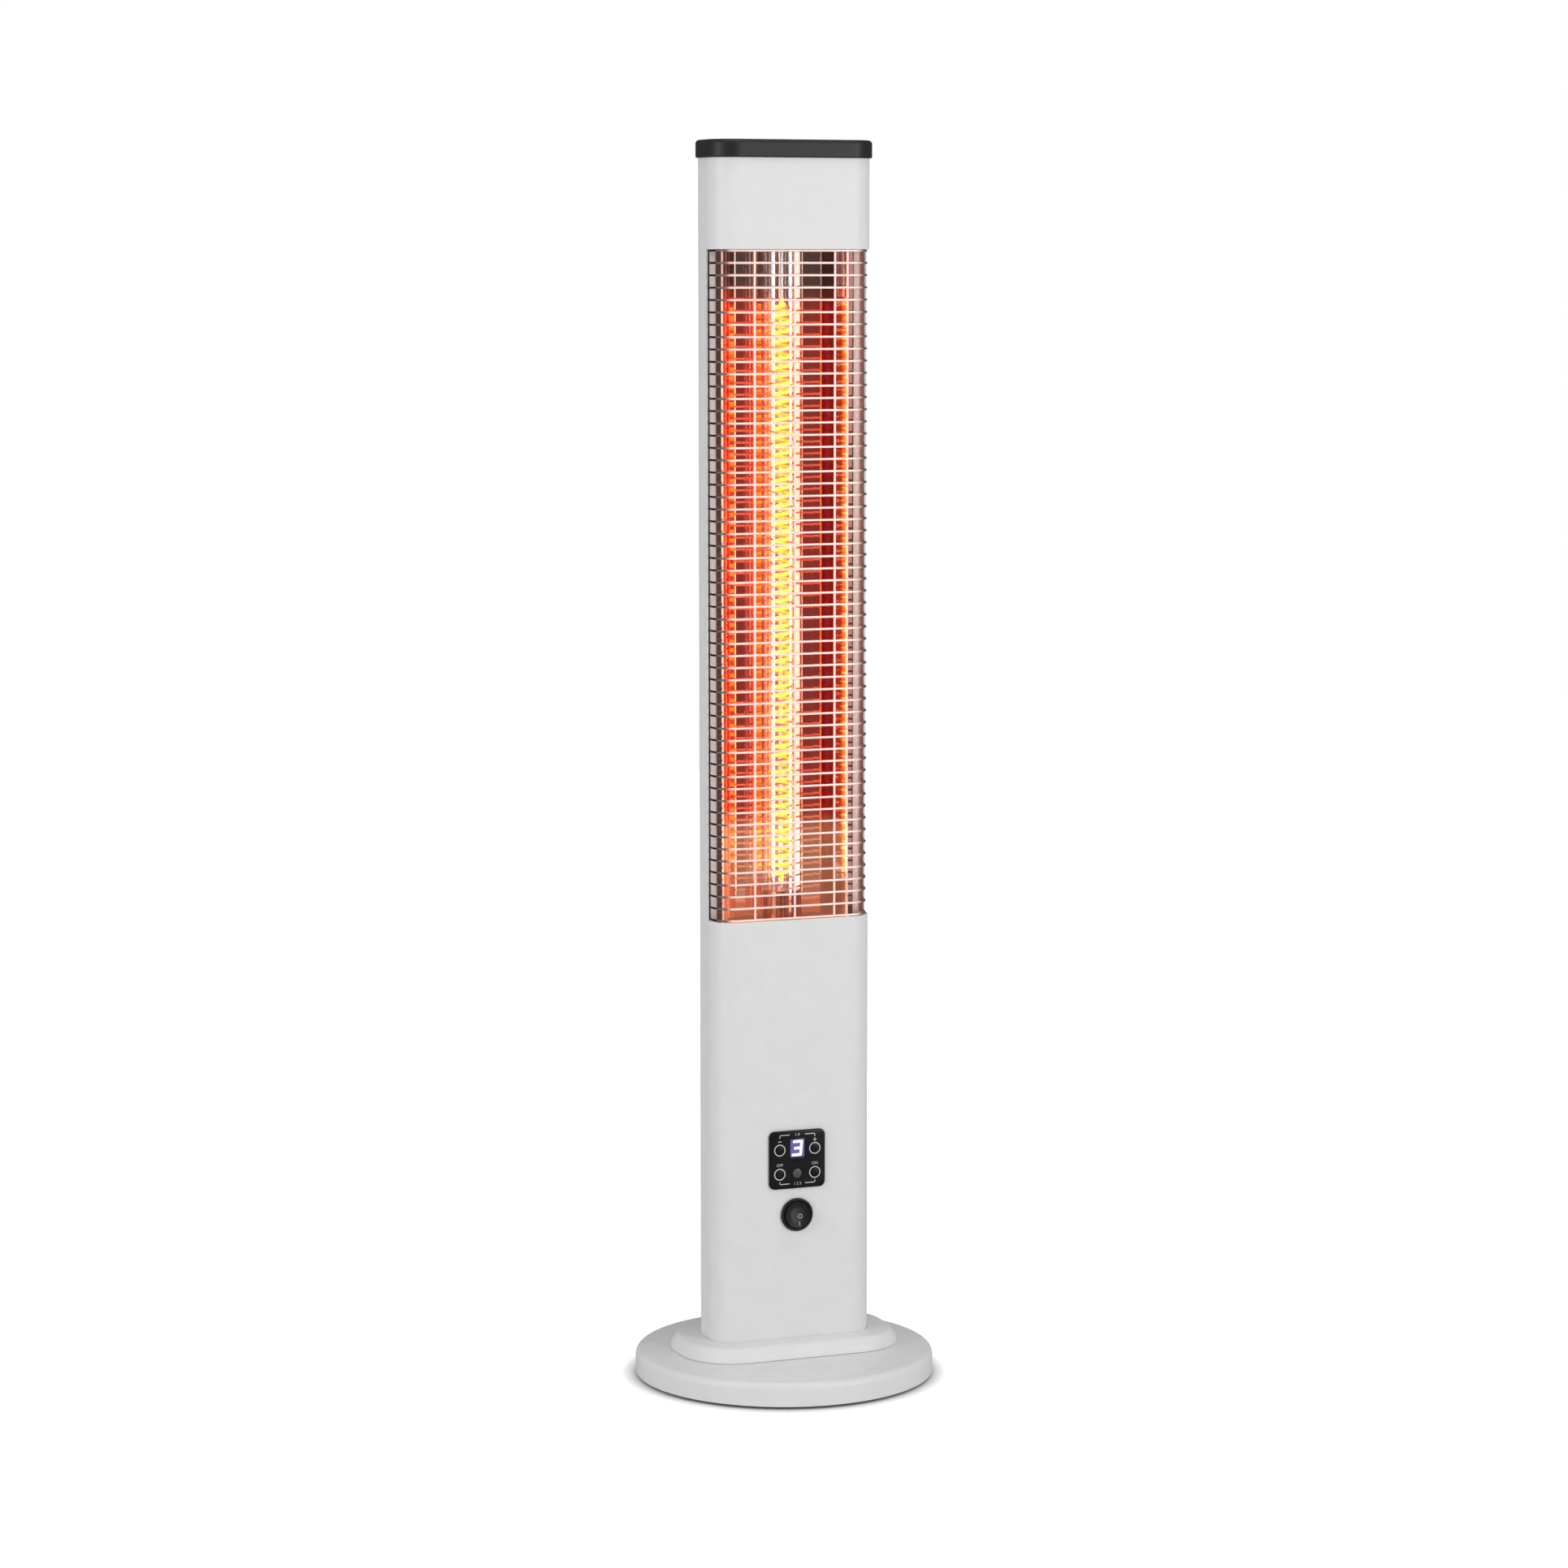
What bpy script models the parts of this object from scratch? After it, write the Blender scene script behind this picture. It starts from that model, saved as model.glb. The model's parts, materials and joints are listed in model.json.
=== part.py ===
"""Free-standing infrared tower heater.

A slim white column on a round foot. Its upper half is a window, closed by a
wire guard that wraps round both front corners. Behind the guard a wound
emitter glows in a quartz tube, in front of a folded mirror. Below the window
sit a control plate with four keys and a round rocker switch.

Metres, +Z up, front towards -Y, origin under the middle of the foot.
"""

import math

import bmesh
import bpy
from mathutils import Matrix, Vector

# Clearances and small common sizes
GAP = 0.0003
OVERLAP = 0.0004
DISC_STEPS = 32
BEZEL_STEPS = 20
ROUND_STEPS = 16
HOLE_STEPS = 10
SMALL_STEPS = 6
CORNER_STEPS = 4
HIDDEN_CORNER_STEPS = 2
SMOOTH_ANGLE = math.radians(35)

# Round foot
FOOT_RADIUS = 0.009
FOOT_HEIGHT = 0.002
FOOT_INSET = 0.025
BASE_RADIUS = 0.125
BASE_WALL = 0.0025
BASE_TOP = 0.024
BASE_FALL = 0.0025
BASE_EDGE_ROUND = 0.0045
BASE_SLOPE_WIDTH = 0.027
BASE_COVER_SHEET = 0.0015
BASE_SCREW_INSET = 0.012
BASE_BOSS_RADIUS = 0.005
BASE_SCREW_RADIUS = 0.0014
BASE_SCREW_HEAD_RADIUS = 0.0030
BASE_SCREW_HEAD_HEIGHT = 0.0012
BASE_SCREW_HEAD_CROWN = 0.0006
BASE_SCREW_LENGTH = 0.009
WEIGHT_SPACE = 0.003
WEIGHT_THICKNESS = 0.006

# Collar between foot and column
PEDESTAL_HEIGHT = 0.012
PEDESTAL_SPREAD_FOOT = 0.0255
PEDESTAL_SPREAD_TOP = 0.020
PEDESTAL_FLOOR = 0.0027
PEDESTAL_FLANK = ((0.0, 0.0), (0.12, 0.0), (0.5, 0.2), (0.85, 0.6), (1.0, 1.0))
FOOT_PLATE_SHEET = 0.003
BOLT_RADIUS = 0.0025
BOLT_HEAD_RADIUS = 0.00425
BOLT_HEAD_HEIGHT = 0.004
BOLT_TIP = 0.0015
BOLT_INSET = 0.025

# Column
COLUMN_WIDTH = 0.140
COLUMN_DEPTH = 0.058
COLUMN_CORNER = 0.020
COLUMN_WALL = 0.0012
COLUMN_TOP = 1.013
CAP_HEIGHT = 0.0147
CAP_OVERHANG = 0.0022
CAP_ROUND = 0.003
CAP_ROOF = 0.0025
CAP_SPIGOT = 0.010
CAP_WALL = 0.0015

# Window and its inward flanges
WINDOW_BOTTOM = 0.3893
WINDOW_BELOW_TOP = 0.0735
WINDOW_SIDE_EDGE = -0.0065
FLANGE_FRONT = -0.0022
FLANGE_LAP = 0.0006
FLANGE_BEYOND = 0.003

# Wire guard
WIRE_RADIUS = 0.0009
ROD_RADIUS = 0.0012
GUARD_PITCH = 0.010
GUARD_CORNER_STEPS = 3
GUARD_WIRE_SIDES = 3
GUARD_STAY_PITCH = 0.035
GUARD_STAY_COUNT = 3
GUARD_WELD = 0.0005
GUARD_ROW_MARGIN = 0.0002

# Mirror behind the lamp: a lipped flange at each side, a steep flank, a fold, a flat back.
# Each fold is given by how far it lies inside the lip, and by its depth.
MIRROR_SHEET = 0.0005
MIRROR_INSET = 0.0098
MIRROR_FLANGE_WIDTH = 0.0049
MIRROR_LIP_HALF = 0.0009
MIRROR_LIP_RISE = 0.0012
MIRROR_BACK_HALF = 0.0345
MIRROR_BACK_SPACE = 0.0038
MIRROR_FOLDS = ((0.0145, 0.0207),)
END_SHEET = 0.0012

# Lamp
LAMP_SPACE = 0.002
TUBE_RADIUS = 0.017
TUBE_WALL = 0.0015
TUBE_ABOVE_SILL = 0.0187
TUBE_PAST_TOP = 0.0065
LAMP_CAP_STEP = 0.0005
LOWER_CAP_LENGTH = 0.038
UPPER_CAP_LENGTH = 0.0292
LAMP_CAP_SPIGOT = 0.003
LAMP_NECK_RADIUS = 0.0055
LAMP_NECK_LENGTH = 0.008
COIL_ABOVE_TUBE_END = 0.012
COIL_BELOW_TUBE_TOP = 0.0503
COIL_PITCH = 0.0071
COIL_RADIUS = 0.0075
CORD_RADIUS = 0.0014
COIL_POINTS = 8
COIL_RUN_IN = 0.75
COIL_TAIL = 0.004
LEAD_RADIUS = 0.0015
SHELF_SHEET = 0.0015
CUTOUT_RADIUS = 0.006
CUTOUT_HEIGHT = 0.005
CUTOUT_X = 0.038

# Control plate, a flat panel proud of the column's front
PLATE_WIDTH = 0.0495
PLATE_HEIGHT = 0.0490
PLATE_CORNER = 0.005
PLATE_PROUD = 0.0017
PLATE_EDGE = 0.0004
PLATE_Z = 0.1879
SKIRT_INSET = 0.00215
SKIRT_CORNER = 0.002
SKIRT_WALL = 0.0014
SKIRT_DEPTH = 0.0047
KEY_RADIUS = 0.0039
KEY_WALL_SPACE = 0.0005
KEY_UPPER_Z = 0.0085
KEY_LOWER_Z = -0.0119
KEY_FLANGE_RADIUS = 0.0051
KEY_FLANGE_SHEET = 0.0008
KEY_STEM_RADIUS = 0.0015
KEY_STEM_LENGTH = 0.0018
KEY_TRAVEL = 0.0005
DISPLAY_WIDTH = 0.014
DISPLAY_HEIGHT = 0.019
DISPLAY_Z = 0.0083
DISPLAY_CORNER = 0.001
IR_RADIUS = 0.004
BOARD_SHEET = 0.0016
BOARD_MARGIN = 0.0004
DOME_SIDE = 0.005
MODULE_INSET = 0.001

# Rocker switch
SWITCH_SPACE = 0.0086
BEZEL_LIP = 0.0013
BEZEL_PROUD = 0.0023
BEZEL_EDGE = 0.0006
BARREL_WALL = 0.0011
BARREL_LENGTH = 0.016
ROCKER_RADIUS = 0.0113
ROCKER_CLEARANCE = 0.0003
ROCKER_RIM_INSET = 0.0008
ROCKER_FRONT = 0.0039
ROCKER_BACK = 0.0042
ROCKER_DISH = 0.0012
ROCKER_DISH_RADIUS = 0.0063
ROCKER_DISH_SHOULDER = 0.00096
ROCKER_PIVOT_DEPTH = 0.0004
ROCKER_TILT = math.radians(10)
TRUNNION_RADIUS = 0.0012
TRUNNION_CLEARANCE = 0.00008
TRUNNION_LENGTH = 0.0008
SWITCH_BODY_DEPTH = 0.006
BLADE_WIDTH = 0.0063
BLADE_SHEET = 0.0008
BLADE_LENGTH = 0.008
BLADE_SPREAD = 0.006

# Rear service cover and the power board that it carries
OPENING_CORNER_SPACE = 0.004
OPENING_BOTTOM = 0.080
OPENING_BELOW_SILL = 0.0393
COVER_MARGIN = 0.006
COVER_SHEET = 0.0012
SCREW_RADIUS = 0.0014
SCREW_HEAD_RADIUS = 0.0028
SCREW_HEAD_HEIGHT = 0.0016
SCREW_HEAD_CROWN = 0.0008
SCREW_LENGTH = 0.006
SCREW_HOLE_EASE = 0.0003
POST_RADIUS = 0.0025
POST_LENGTH = 0.012
POST_INSET = 0.006
POST_MARGIN = 0.010
POWER_BOARD_WIDTH = 0.060
POWER_BOARD_HEIGHT = 0.105
POWER_BOARD_BELOW_OPENING = 0.017
# Blocks on the power board: middle across, foot above the board's foot, width, depth, height
POWER_BLOCKS = (
    (-0.017, 0.006, 0.020, 0.015, 0.028),
    (0.012, 0.006, 0.024, 0.018, 0.022),
    (-0.017, 0.042, 0.020, 0.015, 0.028),
    (0.014, 0.036, 0.018, 0.012, 0.018),
    (-0.002, 0.080, 0.050, 0.011, 0.012),
)

# Cable inlet
GLAND_Z = 0.055
GLAND_FLANGE_RADIUS = 0.008
GLAND_FLANGE_SHEET = 0.002
GLAND_BARREL_RADIUS = 0.006
GLAND_LENGTH = 0.012
GLAND_BORE = 0.0036
NUT_RADIUS = 0.0085
NUT_HEIGHT = 0.003

# Tilt switch on the foot plate
TILT_WIDTH = 0.022
TILT_DEPTH = 0.014
TILT_HEIGHT = 0.016
TILT_EDGE = 0.0012
TILT_Y = -0.004

# Heights and faces that follow from the sizes above
FRONT_Y = -COLUMN_DEPTH / 2
REAR_Y = COLUMN_DEPTH / 2
PEDESTAL_BOTTOM = BASE_TOP + GAP
PEDESTAL_TOP = BASE_TOP + PEDESTAL_HEIGHT
RECESS_FLOOR = PEDESTAL_BOTTOM + PEDESTAL_FLOOR
COLUMN_BOTTOM = RECESS_FLOOR + GAP
BOLT_SPREAD = COLUMN_WIDTH / 2 - BOLT_INSET
BASE_RIM_TOP = BASE_TOP - BASE_FALL
BASE_FLAT_RADIUS = BASE_RADIUS - BASE_SLOPE_WIDTH
FOOT_CIRCLE = BASE_RADIUS - FOOT_INSET
BASE_SCREW_CIRCLE = BASE_RADIUS - BASE_SCREW_INSET
WEIGHT_RADIUS = BASE_SCREW_CIRCLE - BASE_BOSS_RADIUS - WEIGHT_SPACE
BASE_COVER_BOTTOM = FOOT_HEIGHT + GAP
BASE_COVER_TOP = BASE_COVER_BOTTOM + BASE_COVER_SHEET
BASE_CEILING = BASE_TOP - BASE_WALL
WINDOW_TOP = COLUMN_TOP - WINDOW_BELOW_TOP
MIRROR_FLANGE_OUTER = COLUMN_WIDTH / 2 - MIRROR_INSET
FLANGE_INNER = MIRROR_FLANGE_OUTER - FLANGE_LAP
MIRROR_LIP_X = MIRROR_FLANGE_OUTER - MIRROR_FLANGE_WIDTH
MIRROR_BACK_Y = REAR_Y - COLUMN_WALL - MIRROR_BACK_SPACE
MIRROR_BOTTOM = WINDOW_BOTTOM - FLANGE_BEYOND
MIRROR_TOP = WINDOW_TOP + FLANGE_BEYOND
LAMP_Y = MIRROR_BACK_Y - LAMP_SPACE - TUBE_RADIUS
LAMP_CAP_RADIUS = TUBE_RADIUS - LAMP_CAP_STEP
TUBE_BOTTOM = WINDOW_BOTTOM + TUBE_ABOVE_SILL
TUBE_TOP = WINDOW_TOP + TUBE_PAST_TOP
LAMP_LOWER_SEAT = TUBE_BOTTOM - GAP - LOWER_CAP_LENGTH
LAMP_UPPER_SEAT = TUBE_TOP + GAP + UPPER_CAP_LENGTH
COIL_BOTTOM = TUBE_BOTTOM + COIL_ABOVE_TUBE_END
COIL_TURNS = round((TUBE_TOP - COIL_BELOW_TUBE_TOP - COIL_BOTTOM) / COIL_PITCH)
COIL_TOP = COIL_BOTTOM + COIL_TURNS * COIL_PITCH
PLATE_FRONT = FRONT_Y - GAP - PLATE_PROUD
PLATE_BACK = FRONT_Y - GAP
SKIRT_END = PLATE_BACK + SKIRT_DEPTH
BOARD_FRONT = SKIRT_END + GAP
SKIRT_WIDTH = PLATE_WIDTH - 2 * SKIRT_INSET
SKIRT_HEIGHT = PLATE_HEIGHT - 2 * SKIRT_INSET
KEY_X = SKIRT_WIDTH / 2 - SKIRT_WALL - KEY_WALL_SPACE - KEY_FLANGE_RADIUS
BARREL_RADIUS = ROCKER_RADIUS + ROCKER_CLEARANCE + BARREL_WALL
BEZEL_RADIUS = BARREL_RADIUS + BEZEL_LIP
SWITCH_Z = PLATE_Z - PLATE_HEIGHT / 2 - SWITCH_SPACE - BEZEL_RADIUS
BEZEL_BACK = FRONT_Y - GAP
ROCKER_RIM = ROCKER_RADIUS - ROCKER_RIM_INSET
TRUNNION_REACH = ROCKER_RADIUS + TRUNNION_LENGTH
ROCKER_Y = BEZEL_BACK - ROCKER_PIVOT_DEPTH
BARREL_END = BEZEL_BACK + BARREL_LENGTH
OPENING_HALF = COLUMN_WIDTH / 2 - COLUMN_CORNER - OPENING_CORNER_SPACE - COVER_MARGIN
OPENING_TOP = WINDOW_BOTTOM - OPENING_BELOW_SILL
POWER_BOARD_BOTTOM = OPENING_TOP - POWER_BOARD_BELOW_OPENING - POWER_BOARD_HEIGHT
POST_X = POWER_BOARD_WIDTH / 2 - POST_INSET


def clear_scene():
    """Remove every object that the file opened with."""
    for obj in list(bpy.data.objects):
        bpy.data.objects.remove(obj, do_unlink=True)


def make_material(name, colour, roughness, metallic=0.0, alpha=1.0):
    """One Principled material, from a linear colour and two plain values."""
    mat = bpy.data.materials.new(name)
    mat.use_nodes = True
    shader = mat.node_tree.nodes["Principled BSDF"]
    shader.inputs["Base Color"].default_value = (*colour, 1.0)
    shader.inputs["Roughness"].default_value = roughness
    shader.inputs["Metallic"].default_value = metallic
    shader.inputs["Alpha"].default_value = alpha
    mat.diffuse_color = (*colour, alpha)
    return mat


def make_materials():
    """Every finish of the heater, by the name that the pieces ask for."""
    return {
        "white_paint": make_material("white_paint", (0.72, 0.72, 0.72), 0.45),
        "dark_cap": make_material("dark_cap", (0.042, 0.045, 0.048), 0.40),
        "black_gloss": make_material("black_gloss", (0.010, 0.010, 0.011), 0.12),
        "black_plastic": make_material("black_plastic", (0.018, 0.018, 0.019), 0.38),
        "chrome": make_material("chrome", (0.80, 0.80, 0.80), 0.12, 1.0),
        "mirror": make_material("mirror", (0.86, 0.84, 0.82), 0.06, 1.0),
        "quartz": make_material("quartz", (0.95, 0.95, 0.95), 0.02, 0.0, 0.15),
        "glowing_carbon": make_material("glowing_carbon", (1.0, 0.36, 0.05), 0.6),
        "lead_metal": make_material("lead_metal", (0.70, 0.70, 0.68), 0.3, 1.0),
        "galvanised": make_material("galvanised", (0.55, 0.56, 0.57), 0.42, 1.0),
        "rubber": make_material("rubber", (0.03, 0.03, 0.03), 0.85),
        "steel": make_material("steel", (0.35, 0.35, 0.36), 0.5, 1.0),
        "board_green": make_material("board_green", (0.02, 0.12, 0.05), 0.5),
        "grey_lens": make_material("grey_lens", (0.10, 0.10, 0.11), 0.2),
    }


def new_mesh(name, bm):
    """Close a bmesh into a mesh with outward faces and smooth round sides."""
    bmesh.ops.recalc_face_normals(bm, faces=bm.faces[:])
    mesh = bpy.data.meshes.new(name)
    bm.to_mesh(mesh)
    bm.free()
    mesh.shade_smooth()
    mesh.set_sharp_from_angle(angle=SMOOTH_ANGLE)
    return mesh


def add_object(name, bm, mat=None, location=(0, 0, 0), rotation=(0, 0, 0)):
    """Link a bmesh as an object, placed by its location and rotation."""
    obj = bpy.data.objects.new(name, new_mesh(name, bm))
    obj.location = location
    obj.rotation_euler = rotation
    if mat is not None:
        obj.data.materials.append(mat)
    bpy.context.scene.collection.objects.link(obj)
    return obj


def add_tool(name, bm, location=(0, 0, 0), rotation=(0, 0, 0)):
    """An object that only cuts or joins another: drawn as wire, never kept."""
    tool = add_object(name, bm, None, location, rotation)
    tool.hide_render = True
    tool.display_type = "WIRE"
    return tool


def boolean(obj, tool, operation):
    """Cut obj with tool, or join tool to it."""
    mod = obj.modifiers.new(f"{operation.lower()}_{tool.name}", "BOOLEAN")
    mod.operation = operation
    mod.solver = "EXACT"
    mod.object = tool


def outline(width, depth, corner, offset=0.0, steps=CORNER_STEPS):
    """Rounded rectangle as (x, y) points, grown outwards by offset."""
    radius = corner + offset
    half_x = width / 2 + offset - radius
    half_y = depth / 2 + offset - radius
    centres = ((half_x, half_y), (-half_x, half_y), (-half_x, -half_y), (half_x, -half_y))
    points = []
    for quarter, (cx, cy) in enumerate(centres):
        for step in range(steps + 1):
            angle = (quarter + step / steps) * math.pi / 2
            points.append((cx + radius * math.cos(angle), cy + radius * math.sin(angle)))
    return points


def column_outline(offset=0.0, steps=CORNER_STEPS):
    """The column's section, grown outwards by offset."""
    return outline(COLUMN_WIDTH, COLUMN_DEPTH, COLUMN_CORNER, offset, steps)


def inner_outline():
    """What fits inside the column's sheet, drawn a little plainer."""
    return column_outline(-COLUMN_WALL - GAP, HIDDEN_CORNER_STEPS)


def flat(points, height):
    """Lay (x, y) points in a level plane."""
    return [Vector((x, y, height)) for x, y in points]


def upright(points, depth):
    """Stand (x, z) points in a plane that faces the front, at this y."""
    return [Vector((x, depth, z)) for x, z in points]


def loft(sections, closed=False):
    """Skin sections of equal count: capped at both ends, or round in a ring."""
    bm = bmesh.new()
    loops = [[bm.verts.new(point) for point in section] for section in sections]
    pairs = list(zip(loops, loops[1:]))
    if closed:
        pairs.append((loops[-1], loops[0]))
    for lower, upper in pairs:
        count = len(lower)
        for i in range(count):
            j = (i + 1) % count
            bm.faces.new((lower[i], lower[j], upper[j], upper[i]))
    if not closed:
        bm.faces.new(loops[0])
        bm.faces.new(loops[-1])
    return bm


def box(low, high):
    """A block between two corners."""
    bm = bmesh.new()
    bmesh.ops.create_cube(bm, size=1.0)
    size = [b - a for a, b in zip(low, high)]
    middle = [(a + b) / 2 for a, b in zip(low, high)]
    bmesh.ops.scale(bm, vec=size, verts=bm.verts[:])
    bmesh.ops.translate(bm, vec=middle, verts=bm.verts[:])
    return bm


def lathe(profile, steps=ROUND_STEPS, closed=False):
    """Turn (radius, height) points about Z. An open profile ends on the axis."""
    bm = bmesh.new()
    rings = []
    for radius, height in profile:
        if radius == 0:
            rings.append([bm.verts.new((0, 0, height))])
            continue
        ring = []
        for step in range(steps):
            angle = 2 * math.pi * step / steps
            ring.append(bm.verts.new((radius * math.cos(angle), radius * math.sin(angle), height)))
        rings.append(ring)
    pairs = list(zip(rings, rings[1:]))
    if closed:
        pairs.append((rings[-1], rings[0]))
    for first, second in pairs:
        for i in range(steps):
            j = (i + 1) % steps
            corners = [first[i % len(first)], first[j % len(first)]]
            corners += [second[j % len(second)], second[i % len(second)]]
            bm.faces.new(list(dict.fromkeys(corners)))
    return bm


def rod(radius, bottom, top, steps=SMALL_STEPS):
    """A plain round bar along Z."""
    return lathe([(0, bottom), (radius, bottom), (radius, top), (0, top)], steps)


def merged(*parts):
    """Put several disjoint closed forms into one bmesh."""
    bm = bmesh.new()
    for part in parts:
        mesh = bpy.data.meshes.new("part")
        part.to_mesh(mesh)
        part.free()
        bm.from_mesh(mesh)
        bpy.data.meshes.remove(mesh)
    return bm


def moved(bm, offset):
    """The same form, shifted."""
    bmesh.ops.translate(bm, vec=offset, verts=bm.verts[:])
    return bm


def turned(bm, angle, axis):
    """The same form, turned about an axis through the origin."""
    bmesh.ops.rotate(bm, cent=(0, 0, 0), matrix=Matrix.Rotation(angle, 3, axis), verts=bm.verts[:])
    return bm


def facing_front(bm):
    """Turn a form made along +Z so that its +Z looks to the front."""
    return turned(bm, math.pi / 2, "X")


def facing_rear(bm):
    """Turn a form made along +Z so that its +Z looks to the rear."""
    return turned(bm, -math.pi / 2, "X")


def sweep(path, radius, sides):
    """Bar along a level path, with one edge inwards, mitred at every bend."""
    sections = []
    for i, point in enumerate(path):
        before = (point - path[i - 1]).normalized() if i else None
        after = (path[i + 1] - point).normalized() if i + 1 < len(path) else None
        ahead = ((before or after) + (after or before)).normalized()
        side = Vector((-ahead.y, ahead.x, 0))
        stretch = 1 / ahead.dot(after or before)
        section = []
        for step in range(sides):
            angle = 2 * math.pi * step / sides
            out = side * (radius * stretch * math.cos(angle))
            section.append(point + out + Vector((0, 0, radius * math.sin(angle))))
        sections.append(section)
    return loft(sections)


def ring_points(count, radius, phase=0.0):
    """Points spread evenly round the origin."""
    angles = [phase + 2 * math.pi * i / count for i in range(count)]
    return [(radius * math.cos(a), radius * math.sin(a)) for a in angles]


def thick_profile(points, sheet):
    """Both faces of a folded sheet: the points, then the same mitred back."""
    back = []
    for i, point in enumerate(points):
        before = (point - points[i - 1]).normalized() if i else None
        after = (points[i + 1] - point).normalized() if i + 1 < len(points) else None
        ahead = ((before or after) + (after or before)).normalized()
        side = Vector((-ahead.y, ahead.x))
        back.append(point + side * (sheet / ahead.dot(after or before)))
    return points + back[::-1]


def build_foot(mats):
    """Pads, bottom cover, ballast and the shell of the round foot."""
    pad_places = ring_points(4, FOOT_CIRCLE, math.pi / 4)
    for number, (x, y) in enumerate(pad_places, 1):
        pad_bm = rod(FOOT_RADIUS, 0, FOOT_HEIGHT, ROUND_STEPS)
        add_object(f"foot_pad_{number}", pad_bm, mats["rubber"], (x, y, 0))

    cover_radius = BASE_RADIUS - BASE_WALL - GAP
    cover_bm = rod(cover_radius, BASE_COVER_BOTTOM, BASE_COVER_TOP, DISC_STEPS)
    cover = add_object("base_cover", cover_bm, mats["galvanised"])
    reach = 2 * BASE_COVER_TOP
    screw_places = ring_points(3, BASE_SCREW_CIRCLE, math.pi / 2)
    screw_hole = BASE_SCREW_RADIUS + SCREW_HOLE_EASE
    holes = [moved(rod(screw_hole, -reach, reach), (x, y, 0)) for x, y in screw_places]
    boolean(cover, add_tool("base_cover_holes", merged(*holes)), "DIFFERENCE")

    weight_bottom = BASE_COVER_TOP + GAP
    weight_bm = rod(WEIGHT_RADIUS, weight_bottom, weight_bottom + WEIGHT_THICKNESS, DISC_STEPS)
    add_object("base_weight", weight_bm, mats["steel"])

    edge = BASE_EDGE_ROUND
    profile = [(0, BASE_CEILING), (BASE_FLAT_RADIUS, BASE_CEILING)]
    profile += [(BASE_RADIUS - BASE_WALL, BASE_RIM_TOP - BASE_WALL - edge)]
    profile += [(BASE_RADIUS - BASE_WALL, BASE_COVER_BOTTOM), (BASE_RADIUS, BASE_COVER_BOTTOM)]
    for step in range(4):
        angle = step / 3 * math.pi / 2
        out = BASE_RADIUS - edge + edge * math.cos(angle)
        profile.append((out, BASE_RIM_TOP - edge + edge * math.sin(angle)))
    profile += [(BASE_FLAT_RADIUS, BASE_TOP), (0, BASE_TOP)]
    shell = add_object("base_shell", lathe(profile, DISC_STEPS), mats["white_paint"])
    boss_bottom = BASE_COVER_TOP + GAP
    bosses = []
    for x, y in screw_places:
        boss_top = BASE_RIM_TOP - BASE_WALL / 2
        bosses.append(moved(rod(BASE_BOSS_RADIUS, boss_bottom, boss_top), (x, y, 0)))
    boolean(shell, add_tool("base_bosses", merged(*bosses)), "UNION")
    pilot_top = BASE_COVER_BOTTOM + BASE_SCREW_LENGTH
    pilots = [moved(rod(screw_hole, 0, pilot_top), (x, y, 0)) for x, y in screw_places]
    bolts = []
    for side in (-1, 1):
        bolts.append(moved(rod(BOLT_RADIUS + GAP, 0, 2 * BASE_TOP), (side * BOLT_SPREAD, 0, 0)))
    boolean(shell, add_tool("base_pilots", merged(*pilots, *bolts)), "DIFFERENCE")

    under = BASE_COVER_BOTTOM - GAP
    head = under - BASE_SCREW_HEAD_HEIGHT
    crown = BASE_SCREW_HEAD_CROWN
    screw_profile = [(0, head), (BASE_SCREW_HEAD_RADIUS - crown, head)]
    screw_profile += [(BASE_SCREW_HEAD_RADIUS, head + crown)]
    screw_profile += [(BASE_SCREW_HEAD_RADIUS, under), (BASE_SCREW_RADIUS, under)]
    screw_profile += [(BASE_SCREW_RADIUS, under + BASE_SCREW_LENGTH), (0, under + BASE_SCREW_LENGTH)]
    for number, (x, y) in enumerate(screw_places, 1):
        bm = lathe(screw_profile, SMALL_STEPS)
        add_object(f"base_screw_{number}", bm, mats["galvanised"], (x, y, 0))


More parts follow.
